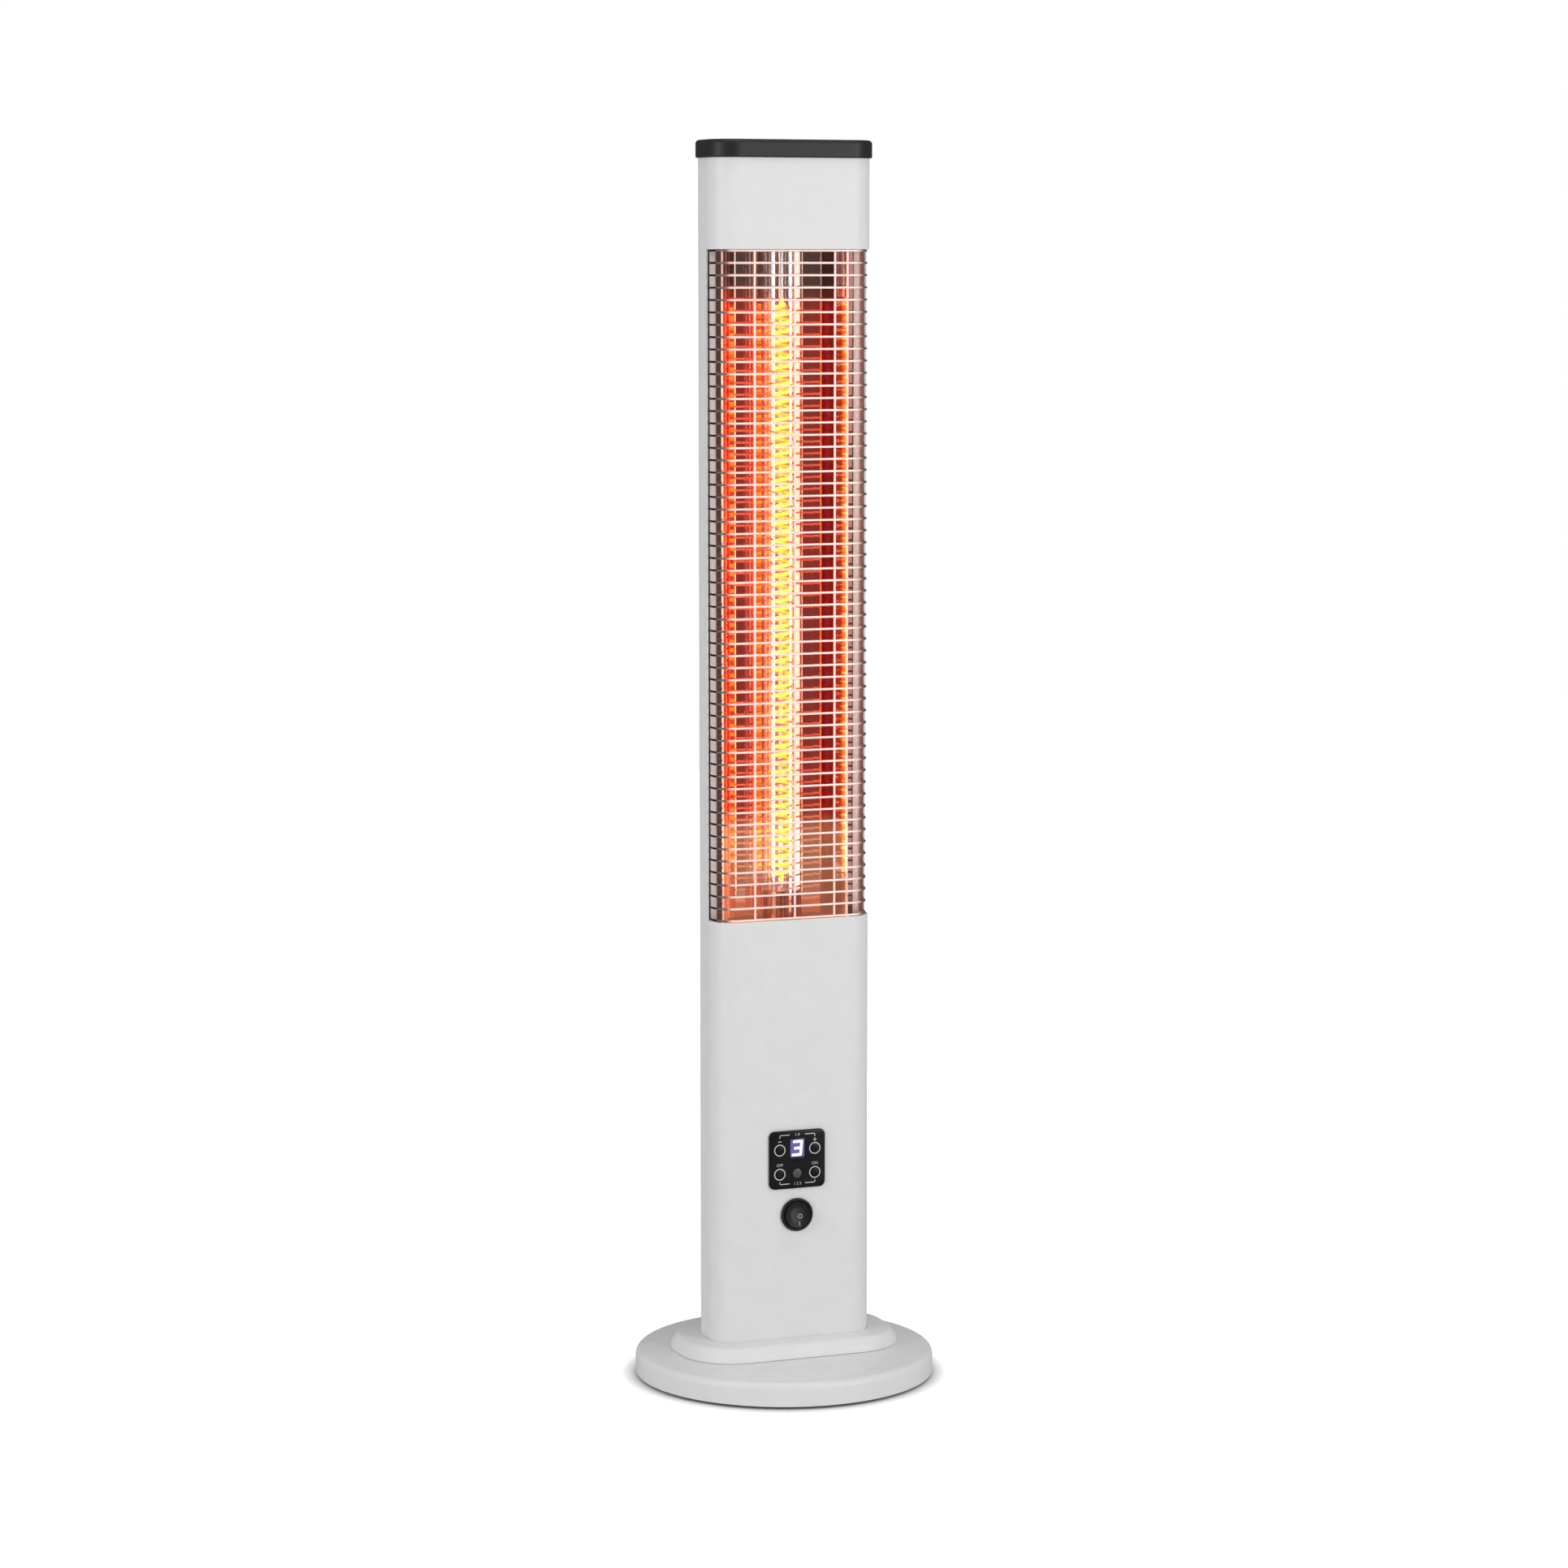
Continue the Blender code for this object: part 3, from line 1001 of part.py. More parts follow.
def build_switch(mats):
    """Round rocker switch: bezel and barrel, rocker on trunnions, contacts."""
    bore = ROCKER_RADIUS + ROCKER_CLEARANCE
    profile = [(bore, -BARREL_LENGTH), (bore, BEZEL_PROUD)]
    profile += [(BEZEL_RADIUS - BEZEL_EDGE, BEZEL_PROUD), (BEZEL_RADIUS, BEZEL_PROUD - BEZEL_EDGE)]
    profile += [(BEZEL_RADIUS, 0), (BARREL_RADIUS, 0), (BARREL_RADIUS, -BARREL_LENGTH)]
    bezel_bm = facing_front(lathe(profile, BEZEL_STEPS, closed=True))
    bezel = add_object("switch_bezel", bezel_bm, mats["black_plastic"], (0, BEZEL_BACK, SWITCH_Z))
    socket_reach = TRUNNION_REACH + TRUNNION_CLEARANCE
    socket_bm = rod(TRUNNION_RADIUS + TRUNNION_CLEARANCE, -socket_reach, socket_reach, HOLE_STEPS)
    socket = add_tool("trunnion_sockets", turned(socket_bm, math.pi / 2, "Y"), (0, ROCKER_Y, SWITCH_Z))
    boolean(bezel, socket, "DIFFERENCE")

    profile = [(0, -ROCKER_BACK)]
    lowest = math.asin(-ROCKER_BACK / ROCKER_RADIUS)
    highest = math.acos(ROCKER_RIM / ROCKER_RADIUS)
    for step in range(5):
        angle = lowest + (highest - lowest) * step / 4
        profile.append((ROCKER_RADIUS * math.cos(angle), ROCKER_RADIUS * math.sin(angle)))
    profile += [(ROCKER_RIM - BEZEL_EDGE, ROCKER_FRONT)]
    profile += [(ROCKER_DISH_RADIUS, ROCKER_FRONT - ROCKER_DISH_SHOULDER)]
    profile += [(0, ROCKER_FRONT - ROCKER_DISH)]
    rocker_bm = facing_front(lathe(profile, ROUND_STEPS))
    rocker_place = (0, ROCKER_Y, SWITCH_Z)
    tilt = (-ROCKER_TILT, 0, 0)
    rocker = add_object("switch_rocker", rocker_bm, mats["black_plastic"], rocker_place, tilt)
    axle_bm = turned(rod(TRUNNION_RADIUS, -TRUNNION_REACH, TRUNNION_REACH, HOLE_STEPS), math.pi / 2, "Y")
    boolean(rocker, add_tool("trunnions", axle_bm, rocker_place, tilt), "UNION")

    plug_front = BARREL_END - SWITCH_BODY_DEPTH
    half = BLADE_WIDTH / 2
    plug_bm = facing_rear(rod(bore - GAP, plug_front, BARREL_END, ROUND_STEPS))
    body = add_object("switch_body", plug_bm, mats["black_plastic"], (0, 0, SWITCH_Z))
    blades = []
    for x in (-BLADE_SPREAD, 0, BLADE_SPREAD):
        low = (x - BLADE_SHEET / 2, BARREL_END - OVERLAP, -half)
        blades.append(box(low, (x + BLADE_SHEET / 2, BARREL_END + BLADE_LENGTH, half)))
    boolean(body, add_tool("switch_blades", merged(*blades), (0, 0, SWITCH_Z)), "UNION")


def main():
    """Build the heater from the floor up."""
    clear_scene()
    mats = make_materials()
    build_foot(mats)
    build_pedestal(mats)
    build_housing(mats)
    build_cap(mats)
    build_guard(mats)
    build_mirror(mats)
    build_lamp(mats)
    build_plate(mats)
    build_keys(mats)
    build_boards(mats)
    build_rear_cover(mats)
    build_gland(mats)
    build_switch(mats)


main()
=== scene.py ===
"""Looks of an infrared tower heater, laid out as an add-on and run as a script."""

import json
import math

import bmesh
import bpy
import numpy as np
from mathutils import Matrix, Vector
from mathutils.geometry import tessellate_polygon


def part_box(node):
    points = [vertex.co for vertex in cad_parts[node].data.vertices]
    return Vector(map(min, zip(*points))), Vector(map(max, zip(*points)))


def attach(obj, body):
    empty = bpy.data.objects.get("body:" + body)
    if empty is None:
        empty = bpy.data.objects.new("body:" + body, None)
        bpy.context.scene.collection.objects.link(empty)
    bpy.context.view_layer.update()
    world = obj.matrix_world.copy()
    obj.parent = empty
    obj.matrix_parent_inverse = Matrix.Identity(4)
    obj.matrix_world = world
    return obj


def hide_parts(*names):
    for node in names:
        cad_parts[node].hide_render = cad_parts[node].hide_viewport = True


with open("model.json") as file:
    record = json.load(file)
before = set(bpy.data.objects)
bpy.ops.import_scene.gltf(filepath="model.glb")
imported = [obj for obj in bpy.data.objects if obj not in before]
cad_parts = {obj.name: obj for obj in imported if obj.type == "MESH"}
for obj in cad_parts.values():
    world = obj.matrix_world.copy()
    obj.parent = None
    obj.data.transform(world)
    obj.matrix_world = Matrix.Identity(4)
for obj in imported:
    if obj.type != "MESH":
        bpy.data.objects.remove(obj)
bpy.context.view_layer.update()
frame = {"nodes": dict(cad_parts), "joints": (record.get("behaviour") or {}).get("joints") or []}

bl_info = {
    "name": "Infrared Tower Heater",
    "version": (1, 0, 0),
    "blender": (4, 5, 0),
    "location": "3D View > Sidebar > Heater",
    "description": "Dresses the packed heater: sheet, wires, lamp, controls and their finishes",
    "category": "Add Mesh",
}

BODY = "heater"
GAP = 0.0003  # left between a piece and what it stands beside
LEAD = 0.0006  # short flat beside a rounded corner
PLATE_DEPTH = 0.0017  # of the control plate, its keys and its lens
INMOST = 0.6  # share of the column's corner that lid and collar reach inwards
ROUND_START = 0.75  # part of a turn in which the emitter opens from its axis
DUST = (0.35, 0.34, 0.33)
NO_GLOW = (0.0, 0.0, 0.0)


# Sizes and colours that a user would change


def length(name, text, default):
    """A length in metres as a property."""
    return bpy.props.FloatProperty(
        name=name, description=text, default=default, precision=5, subtype="DISTANCE", unit="LENGTH"
    )


def count(name, text, default):
    """A number of copies or steps as a property."""
    return bpy.props.IntProperty(name=name, description=text, default=default, min=1)


def share(name, text, default):
    """A plain number as a property."""
    return bpy.props.FloatProperty(name=name, description=text, default=default, precision=4)


def colour(name, text, default):
    """A linear colour as a property."""
    return bpy.props.FloatVectorProperty(
        name=name, description=text, default=default, size=3, subtype="COLOR", min=0.0, max=1.0
    )


class HeaterSizes(bpy.types.PropertyGroup):
    """Sizes that the frame's boxes don't tell."""

    corner: length("Column corner", "Radius of the column's upright corners", 0.020)
    sheet: length("Column sheet", "Thickness of the column's sheet", 0.0012)
    side_edge: length("Window side edge", "Depth at which the window ends on both sides", -0.0065)
    flange_front: length("Flange front", "Depth of the window flanges' front face", -0.0022)
    cap_round: length("Lid edge", "Radius of the lid's upper edge", 0.0032)
    wire: length("Wire", "Radius of a guard wire", 0.0009)
    rod: length("End rod", "Radius of the rods that the wires end on", 0.0012)
    wire_rows: count("Wire rows", "Level wires of the guard", 56)
    stay_pitch: length("Stay pitch", "Space between the guard's upright stays", 0.035)
    turns: count("Turns", "Turns of the wound emitter", 67)
    winding: length("Winding", "Radius of the emitter's winding", 0.0075)
    cord: length("Emitter cord", "Radius of the wound cord", 0.0014)
    key_ring: length("Key ring", "Outer radius of the printed ring round a key", 0.0050)
    digit_rise: length("Digit rise", "How far the digit stands above the window's middle", 0.0012)
    print_line: length("Print line", "Width of a printed line", 0.00082)
    flank_run: length("Flank run", "How far the mirror's flank ends inside its lip", 0.0145)
    flank_depth: length("Flank depth", "Depth at which the mirror's flank ends", 0.0207)
    back_half: length("Mirror back", "Half width of the mirror's flat back", 0.0345)


class HeaterColours(bpy.types.PropertyGroup):
    """Colours of the finishes, in linear values."""

    paint: colour("Paint", "White powder coat", (0.80, 0.80, 0.80))
    lid: colour("Lid", "Dark lid", (0.023, 0.023, 0.024))
    # Painted glow: the wire's warm tint stands in for the emitter's light on it.
    wire: colour("Wire", "Chromed wire, a little warm from the glow", (0.98, 0.80, 0.74))
    # Painted shade on the wire where it turns in beside the window.
    wire_side_painted_shade: colour("Wire, sides", "Chromed wire where it turns into the shade", (0.19, 0.165, 0.155))
    # Painted glow: the flange's warm tint stands in for the emitter's light on it.
    flange_painted_glow: colour("Flange", "Window flange, warmed by the glow", (0.98, 0.72, 0.64))
    # Mirror tints: painted glow as a deep red beside the lit length and a pale red below it, painted dark above
    # it, painted shade on the flanges, and a painted reflection of the glow on the left flank.
    mirror_painted_dark: colour("Mirror, unlit", "Mirror above the lit length", (0.44, 0.26, 0.22))
    mirror_painted_glow: colour("Mirror, lit", "Mirror beside the lit length", (0.85, 0.25, 0.16))
    mirror_low: colour("Mirror, low", "Mirror below the lit length", (0.72, 0.42, 0.30))
    mirror_flange_painted_shade: colour("Mirror, flange", "Mirror's narrow flanges", (0.06, 0.03, 0.03))
    mirror_pale_painted_reflection: colour(
        "Mirror, left flank", "Tint of the left flank beside the lit length", (0.95, 0.70, 0.42)
    )
    # Mirror emission: a painted glow beside, above and below the lit length and on the flanges, and a painted
    # highlight on the lip.
    painted_glow_lit: colour(
        "Haze, lit", "Glow that the mirror gives back beside the lit length", (0.140, 0.004, 0.006)
    )
    painted_glow_edge: colour("Haze, edge", "Glow that the mirror's flange catches", (0.075, 0.038, 0.032))
    painted_highlight_lip: colour("Haze, lip", "Glow that the mirror's lip catches", (0.60, 0.36, 0.30))
    painted_glow_low: colour(
        "Haze, low", "Glow that the mirror gives back below the lit length", (0.27, 0.085, 0.048)
    )
    glow_deep: colour("Glow, deep", "Emitter between its strands", (1.0, 0.15, 0.008))
    glow_hot: colour("Glow, hot", "Emitter on its strands", (1.0, 0.66, 0.07))
    black: colour("Panel", "Black panel", (0.008, 0.008, 0.009))
    print_white: colour("Print", "White print on the panel", (0.58, 0.58, 0.58))
    digit: colour("Digit", "Lit digit", (0.80, 0.74, 1.0))


class HeaterStage(bpy.types.PropertyGroup):
    """Camera and lamps."""

    distance: length("Distance", "Camera's distance from the column's axis", 3.51)
    height: length("Height", "Camera's height above the floor", 0.93)
    yaw: bpy.props.FloatProperty(
        name="Turn", description="Camera's turn round the column", default=math.radians(-21), subtype="ANGLE"
    )
    pitch: bpy.props.FloatProperty(
        name="Tilt", description="Camera's tilt below level", default=math.radians(7.0), subtype="ANGLE"
    )
    lens: share("Lens", "Focal length in millimetres on a 36 mm sensor", 97.8)
    ambient: share("Ambient", "Strength of the soft light from all round", 0.43)
    mirrored: share("Mirrored room", "Brightness of the room that gloss and metal show", 0.11)
    key: share("Key lamp", "Watts of the large lamp on the right", 26.0)
    fill: share("Fill lamp", "Watts of the lamp on the left", 26.0)
    top: share("Top lamp", "Watts of the lamp overhead", 14.0)


# Surfaces worked out with numpy: a shape is (points, faces)


def grid_faces(rows, cols, wrap_rows=False):
    """Corner numbers of a grid of quads: columns always wrap round, rows on request."""
    down, along = np.meshgrid(np.arange(rows if wrap_rows else rows - 1), np.arange(cols), indexing="ij")
    below = (down + 1) % rows
    beside = (along + 1) % cols
    quads = [down * cols + along, down * cols + beside, below * cols + beside, below * cols + along]
    return np.stack(quads, axis=-1).reshape(-1, 4)


def skin(rings, wrap_rows=False):
    """Closed surface over rings, an array of rows by columns by 3."""
    rows, cols = rings.shape[:2]
    faces = grid_faces(rows, cols, wrap_rows).tolist()
    if not wrap_rows:
        faces.append(list(range(cols)))
        faces.append(list(range((rows - 1) * cols, rows * cols)))
    return rings.reshape(-1, 3), faces


def joined(*shapes):
    """Several shapes as one."""
    points = []
    faces = []
    start = 0
    for more, sides in shapes:
        points.append(np.asarray(more, dtype=float))
        faces += [[corner + start for corner in side] for side in sides]
        start += len(more)
    return np.concatenate(points), faces


def placed(shape, offset, turn=None):
    """The shape turned by a 3 by 3 matrix and then shifted."""
    points, faces = shape
    if turn is not None:
        points = points @ np.array(turn).T
    return points + np.array(offset, dtype=float), faces


TO_FRONT = Matrix.Rotation(math.pi / 2, 3, "X")
TO_REAR = Matrix.Rotation(-math.pi / 2, 3, "X")


def filleted(corners, radii, steps, closed=False):
    """Polyline whose corners are arcs: each arc is tangent to both sides of its corner.

    The arc's centre lies on the corner's bisector, radius / sin(half angle) away.
    """
    corners = np.asarray(corners, dtype=float)
    total = len(corners)
    line = []
    for i, (corner, radius) in enumerate(zip(corners, radii)):
        if radius == 0 or (not closed and i in (0, total - 1)):
            line.append(corner[None])
            continue
        before = corners[i - 1] - corner
        after = corners[(i + 1) % total] - corner
        back = before / np.linalg.norm(before)
        ahead = after / np.linalg.norm(after)
        half = math.acos(np.clip(back @ ahead, -1, 1)) / 2
        reach = radius / math.tan(half)
        middle = corner + (back + ahead) / np.linalg.norm(back + ahead) * radius / math.sin(half)
        first = corner + back * reach - middle
        last = corner + ahead * reach - middle
        sweep = math.pi - 2 * half
        share_done = np.linspace(0, 1, steps + 1)[:, None]
        arc = np.sin((1 - share_done) * sweep) * first + np.sin(share_done * sweep) * last
        line.append(middle + arc / math.sin(sweep))
    return np.concatenate(line)


def circle(radius, steps, centre=(0, 0)):
    """Points of a circle, radius times (cos, sin) of the angle."""
    angle = np.arange(steps) / steps * 2 * math.pi
    return np.array(centre) + radius * np.stack([np.cos(angle), np.sin(angle)], axis=-1)


def track(half_x, half_y, corner, offsets=(0.0,), steps=12, lead=LEAD):
    """Rings round a rectangle with round corners, one for each outward offset.

    Each corner is a quarter circle of radius corner + offset, and a short flat
    lead on both its sides keeps the long sides' shading flat.
    """
    quarter = np.arange(4)[:, None] * math.pi / 2
    angle = quarter + np.linspace(0, math.pi / 2, steps + 1)
    angle = np.concatenate([angle[:, :1], angle, angle[:, -1:]], axis=1)
    slide = np.zeros(angle.shape)
    slide[:, 0] = -lead
    slide[:, -1] = lead
    side_x = np.array([1, -1, -1, 1])[:, None] * (half_x - corner)
    side_y = np.array([1, 1, -1, -1])[:, None] * (half_y - corner)
    radius = corner + np.asarray(offsets, dtype=float)[:, None, None]
    x = side_x + radius * np.cos(angle) - slide * np.sin(angle)
    y = side_y + radius * np.sin(angle) + slide * np.cos(angle)
    return np.stack([x, y], axis=-1).reshape(len(radius), -1, 2)


def at_height(rings, heights):
    """Level rings lifted to their heights."""
    level = np.broadcast_to(np.asarray(heights, dtype=float)[:, None, None], (*rings.shape[:2], 1))
    return np.concatenate([rings, level], axis=-1)


def carried(profile, half_x, half_y, corner, steps):
    """Profile of (outward offset, height) points carried round the column."""
    rings = track(half_x, half_y, corner, profile[:, 0], steps)
    return skin(at_height(rings, profile[:, 1]))


def with_leads(profile, closed):
    """Profile with a point close to each end of its long straight stretches.

    The short stretch beside a corner takes up the turn of the shading there.
    """
    after = np.roll(profile, -1, axis=0)
    reach = np.linalg.norm(after - profile, axis=1)
    if not closed:
        reach[-1] = 0
    way = (after - profile) / np.maximum(reach, 1e-9)[:, None] * LEAD
    points = np.stack([profile, profile + way, after - way], axis=1)
    keep = np.stack([reach >= 0, reach > 6 * LEAD, reach > 6 * LEAD], axis=1)
    return points[keep]


def lathe(profile, sides, wrap_rows=False):
    """Profile of (radius, height) points turned about Z."""
    profile = with_leads(profile, wrap_rows)
    rings = profile[:, 0][:, None, None] * circle(1.0, sides)
    return skin(at_height(rings, profile[:, 1]), wrap_rows)


def turned(corners, radii, steps, sides, place, turn=None, closed=False):
    """Profile with round corners turned about Z and put in its place."""
    profile = filleted(corners, radii, steps, closed)
    return placed(lathe(profile, sides, wrap_rows=closed), place, turn)


def tube(path, across, radius, sides):
    """Round bar along a path: point + radius * (cos, sin) in the plane across it.

    across is a direction that the path never follows, for each point or for all.
    """
    ahead = np.gradient(path, axis=0)
    ahead /= np.linalg.norm(ahead, axis=1, keepdims=True)
    side = across - (np.sum(across * ahead, axis=1, keepdims=True)) * ahead
    side /= np.linalg.norm(side, axis=1, keepdims=True)
    up = np.cross(ahead, side)
    around = circle(1.0, sides)
    reach = np.broadcast_to(np.asarray(radius, dtype=float), (len(path),))[:, None, None]
    bend = around[None, :, :1] * side[:, None] + around[None, :, 1:] * up[:, None]
    return skin(path[:, None] + reach * bend)


def upright_bar(x, y, low, high, radius, sides=12):
    """Round bar along Z, its ends a little rounded."""
    edge = radius * 0.3
    corners = [(edge, low), (radius, low), (radius, high), (edge, high)]
    return turned(corners, (0, edge, edge, 0), 2, sides, (x, y, 0))


def prism(loop, low, high):
    """Closed loop of (x, y) points raised from low to high."""
    return skin(at_height(np.stack([loop, loop]), (low, high)))


def pierced(outer, holes, front, back, edge=0.0):
    """Plate with holes, as (x, z) loops, its face at y = front and its back at y = back.

    The outer edge is rounded by edge at the face.
    """
    loops = [np.asarray(outer)] + [np.asarray(hole) for hole in holes]
    flat = [[Vector((*point, 0)) for point in loop] for loop in loops]
    triangles = [list(tri) for tri in tessellate_polygon(flat)]
    plan = np.concatenate(loops)
    total = len(plan)
    middle = loops[0].mean(axis=0)
    outline = np.arange(len(loops[0]))

    def level(depth, inset=0.0):
        moved = plan.copy()
        away = moved[outline] - middle
        moved[outline] -= away / np.linalg.norm(away, axis=1, keepdims=True) * inset
        return np.column_stack([moved[:, 0], np.full(total, depth), moved[:, 1]])

    way = math.copysign(1.0, back - front)
    steps = 4 if edge else 0
    turn = np.linspace(0, math.pi / 2, steps + 1)
    levels = [level(front + way * edge * (1 - math.sin(a)), edge * (1 - math.cos(a))) for a in turn[::-1]]
    levels.append(level(back))
    faces = list(triangles)
    last = (len(levels) - 1) * total
    faces += [[corner + last for corner in tri] for tri in triangles]
    start = 0
    for loop in loops:
        ring = np.arange(len(loop)) + start
        rows = np.stack([ring + step * total for step in range(len(levels))])
        quads = rows.reshape(-1)[grid_faces(len(levels), len(loop))]
        faces += quads.tolist()
        start += len(loop)
    return np.concatenate(levels), faces


def make_piece(name, shape, look, nodes=(), *, body=BODY, angle=35, merge=False, values=None):
    """Mesh object of a shape, with outward faces, its CAD body and the finish that look names.

    values are numbers for each point, kept as attributes of the mesh.
    """
    points, faces = shape
    mesh = bpy.data.meshes.new(name)
    mesh.from_pydata(np.asarray(points).tolist(), [], faces)
    for key, numbers in (values or {}).items():
        attribute = mesh.attributes.new(key, "FLOAT", "POINT")
        attribute.data.foreach_set("value", np.asarray(numbers, dtype=np.float32))
    bm = bmesh.new()
    bm.from_mesh(mesh)
    if merge:
        bmesh.ops.remove_doubles(bm, verts=bm.verts, dist=1e-6)
    bmesh.ops.recalc_face_normals(bm, faces=bm.faces)
    bm.to_mesh(mesh)
    bm.free()
    mesh.shade_smooth()
    mesh.set_sharp_from_angle(angle=math.radians(angle))
    mesh.materials.append(finish(look))
    obj = bpy.data.objects.new(name, mesh)
    bpy.context.scene.collection.objects.link(obj)
    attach(obj, body)
    if nodes:
        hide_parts(*nodes)
    return obj


def dress(look, *nodes):
    """Give CAD nodes that stay in view the finish that look names."""
    for node in nodes:
        slots = frame["nodes"][node].data.materials
        slots.clear()
        slots.append(finish(look))


# Node trees


class Wiring:
    """Adds nodes to one tree and links their inputs in the same call."""

    def __init__(self, tree):
        self.tree = tree

    def add(self, kind, settings=None, inputs=None):
        """New node with its settings, and inputs given as values or as sockets."""
        node = self.tree.nodes.new(kind)
        for key, value in (settings or {}).items():
            setattr(node, key, value)
        self.feed(node, inputs or {})
        return node

    def feed(self, node, inputs):
        """Give inputs of a node their values, or link those whose value is a socket."""
        for key, value in inputs.items():
            if isinstance(value, bpy.types.NodeSocket):
                self.link(value, node.inputs[key])
            else:
                node.inputs[key].default_value = value

    def link(self, source, target):
        """One link between two sockets."""
        self.tree.links.new(source, target)

    def effect(self, name, inputs):
        """Outputs of a shared effect, placed with its own values."""
        return self.add("ShaderNodeGroup", {"node_tree": shared(name)}, inputs).outputs

    def math(self, operation, first, second=0.0):
        """Result of one Math node."""
        return self.add("ShaderNodeMath", {"operation": operation}, {0: first, 1: second}).outputs[0]

    def times(self, first, second):
        """Product of two values."""
        return self.math("MULTIPLY", first, second)

    def plus(self, first, second):
        """Sum of two values."""
        return self.math("ADD", first, second)

    def minus(self, first, second):
        """First value less the second."""
        return self.math("SUBTRACT", first, second)

    def away(self, value, centre):
        """Distance of a value from a centre, on either side."""
        return self.math("ABSOLUTE", self.minus(value, centre))

    def spread(self, value, low, high):
        """Value between 0 and 1 brought between low and high."""
        inputs = {"Value": value, "To Min": low, "To Max": high}
        return self.add("ShaderNodeMapRange", inputs=inputs).outputs["Result"]

    def ramp(self, value, low, high):
        """Value brought to 0 at low and 1 at high, smoothly."""
        settings = {"interpolation_type": "SMOOTHSTEP"}
        node = self.add("ShaderNodeMapRange", settings, {"Value": value, "From Min": low, "From Max": high})
        return node.outputs["Result"]

    def blend(self, amount, first, second):
        """Two colours mixed."""
        node = self.add("ShaderNodeMix", {"data_type": "RGBA"}, {"Factor": amount})
        for socket, value in (("A", first), ("B", second)):
            target = next(s for s in node.inputs if s.name == socket and s.type == "RGBA")
            if isinstance(value, bpy.types.NodeSocket):
                self.link(value, target)
            else:
                target.default_value = (*value, 1.0)
        return next(s for s in node.outputs if s.type == "RGBA")

    def place(self):
        """Object coordinates as separate x, y and z."""
        return self.add("ShaderNodeSeparateXYZ", inputs={"Vector": self.object_place()}).outputs

    def object_place(self):
        """Object coordinates as a vector."""
        return self.add("ShaderNodeTexCoord").outputs["Object"]

    def noise(self, scale, detail=3.0, stretch=None):
        """Noise of object coordinates, stretched by a scale for each axis."""
        vector = self.object_place()
        if stretch:
            vector = self.add("ShaderNodeMapping", inputs={"Vector": vector, "Scale": stretch}).outputs[0]
        inputs = {"Vector": vector, "Scale": scale, "Detail": detail}
        return self.add("ShaderNodeTexNoise", inputs=inputs).outputs[0]


def new_group(name, inputs, outputs):
    """Empty shader node group with float inputs and typed outputs."""
    group = bpy.data.node_groups.new(name, "ShaderNodeTree")
    for label, default in inputs:
        socket = group.interface.new_socket(name=label, in_out="INPUT", socket_type="NodeSocketFloat")
        socket.default_value = default
    for label in outputs:
        group.interface.new_socket(name=label, in_out="OUTPUT", socket_type="NodeSocketFloat")
    wiring = Wiring(group)
    entry = wiring.add("NodeGroupInput")
    leave = wiring.add("NodeGroupOutput")
    return group, wiring, entry, leave


def grain_group():
    """Fine pits of a powder coat or moulding, and a slow change of tone."""
    inputs = [("Scale", 900.0), ("Unevenness", 60.0)]
    group, w, entry, leave = new_group("Grain", inputs, ["Height", "Tone"])
    place = w.object_place()
    fine = w.add("ShaderNodeTexNoise", inputs={"Vector": place, "Scale": entry.outputs["Scale"], "Detail": 2.0})
    slow = w.add("ShaderNodeTexNoise", inputs={"Vector": place, "Scale": entry.outputs["Unevenness"]})
    height = w.plus(w.times(fine.outputs[0], 0.7), w.times(slow.outputs[0], 0.3))
    w.link(height, leave.inputs["Height"])
    w.link(slow.outputs[0], leave.inputs["Tone"])
    return group


def drawn_group():
    """Fine lines left in sheet or rod by drawing and rolling, along one axis."""
    inputs = [("Across X", 400.0), ("Across Y", 400.0), ("Across Z", 12.0)]
    group, w, entry, leave = new_group("Drawn Lines", inputs, ["Height", "Tone"])
    stretch = w.add("ShaderNodeCombineXYZ")
    for axis, (label, _) in zip("XYZ", inputs):
        w.link(entry.outputs[label], stretch.inputs[axis])
    factors = {0: w.object_place(), 1: stretch.outputs[0]}
    vector = w.add("ShaderNodeVectorMath", {"operation": "MULTIPLY"}, factors)
    lines = w.add("ShaderNodeTexNoise", inputs={"Vector": vector.outputs[0], "Scale": 1.0, "Detail": 4.0})
    slow = w.noise(25.0)
    w.link(lines.outputs[0], leave.inputs["Height"])
    w.link(slow, leave.inputs["Tone"])
    return group


def dust_group():
    """Mask of thin dust on faces that look up."""
    group, w, entry, leave = new_group("Settled Dust", [("Amount", 0.3)], ["Mask"])
    normal = w.add("ShaderNodeNewGeometry").outputs["Normal"]
    up = w.add("ShaderNodeSeparateXYZ", inputs={"Vector": normal}).outputs["Z"]
    spread = w.ramp(w.noise(140.0, 5.0), 0.45, 0.75)
    mask = w.times(w.times(w.ramp(up, 0.5, 0.95), spread), entry.outputs["Amount"])
    w.link(mask, leave.inputs["Mask"])
    return group


def shared(name):
    """A shared node group, built once."""
    makers = {"Grain": grain_group, "Drawn Lines": drawn_group, "Settled Dust": dust_group}
    return bpy.data.node_groups.get(name) or makers[name]()


def blank_material(name):
    """New material, its wiring and its Principled shader."""
    material = bpy.data.materials.new(name)
    material.use_nodes = True
    return material, Wiring(material.node_tree), material.node_tree.nodes["Principled BSDF"]


def link_bump(w, shader, height, strength, distance):
    """Bump from a height into the shader's normal."""
    inputs = {"Height": height, "Strength": strength, "Distance": distance}
    bump = w.add("ShaderNodeBump", inputs=inputs)
    w.link(bump.outputs["Normal"], shader.inputs["Normal"])


def toned(base, by):
    """A colour made darker or lighter, white at most."""
    return tuple(min(1.0, c * by) for c in base)


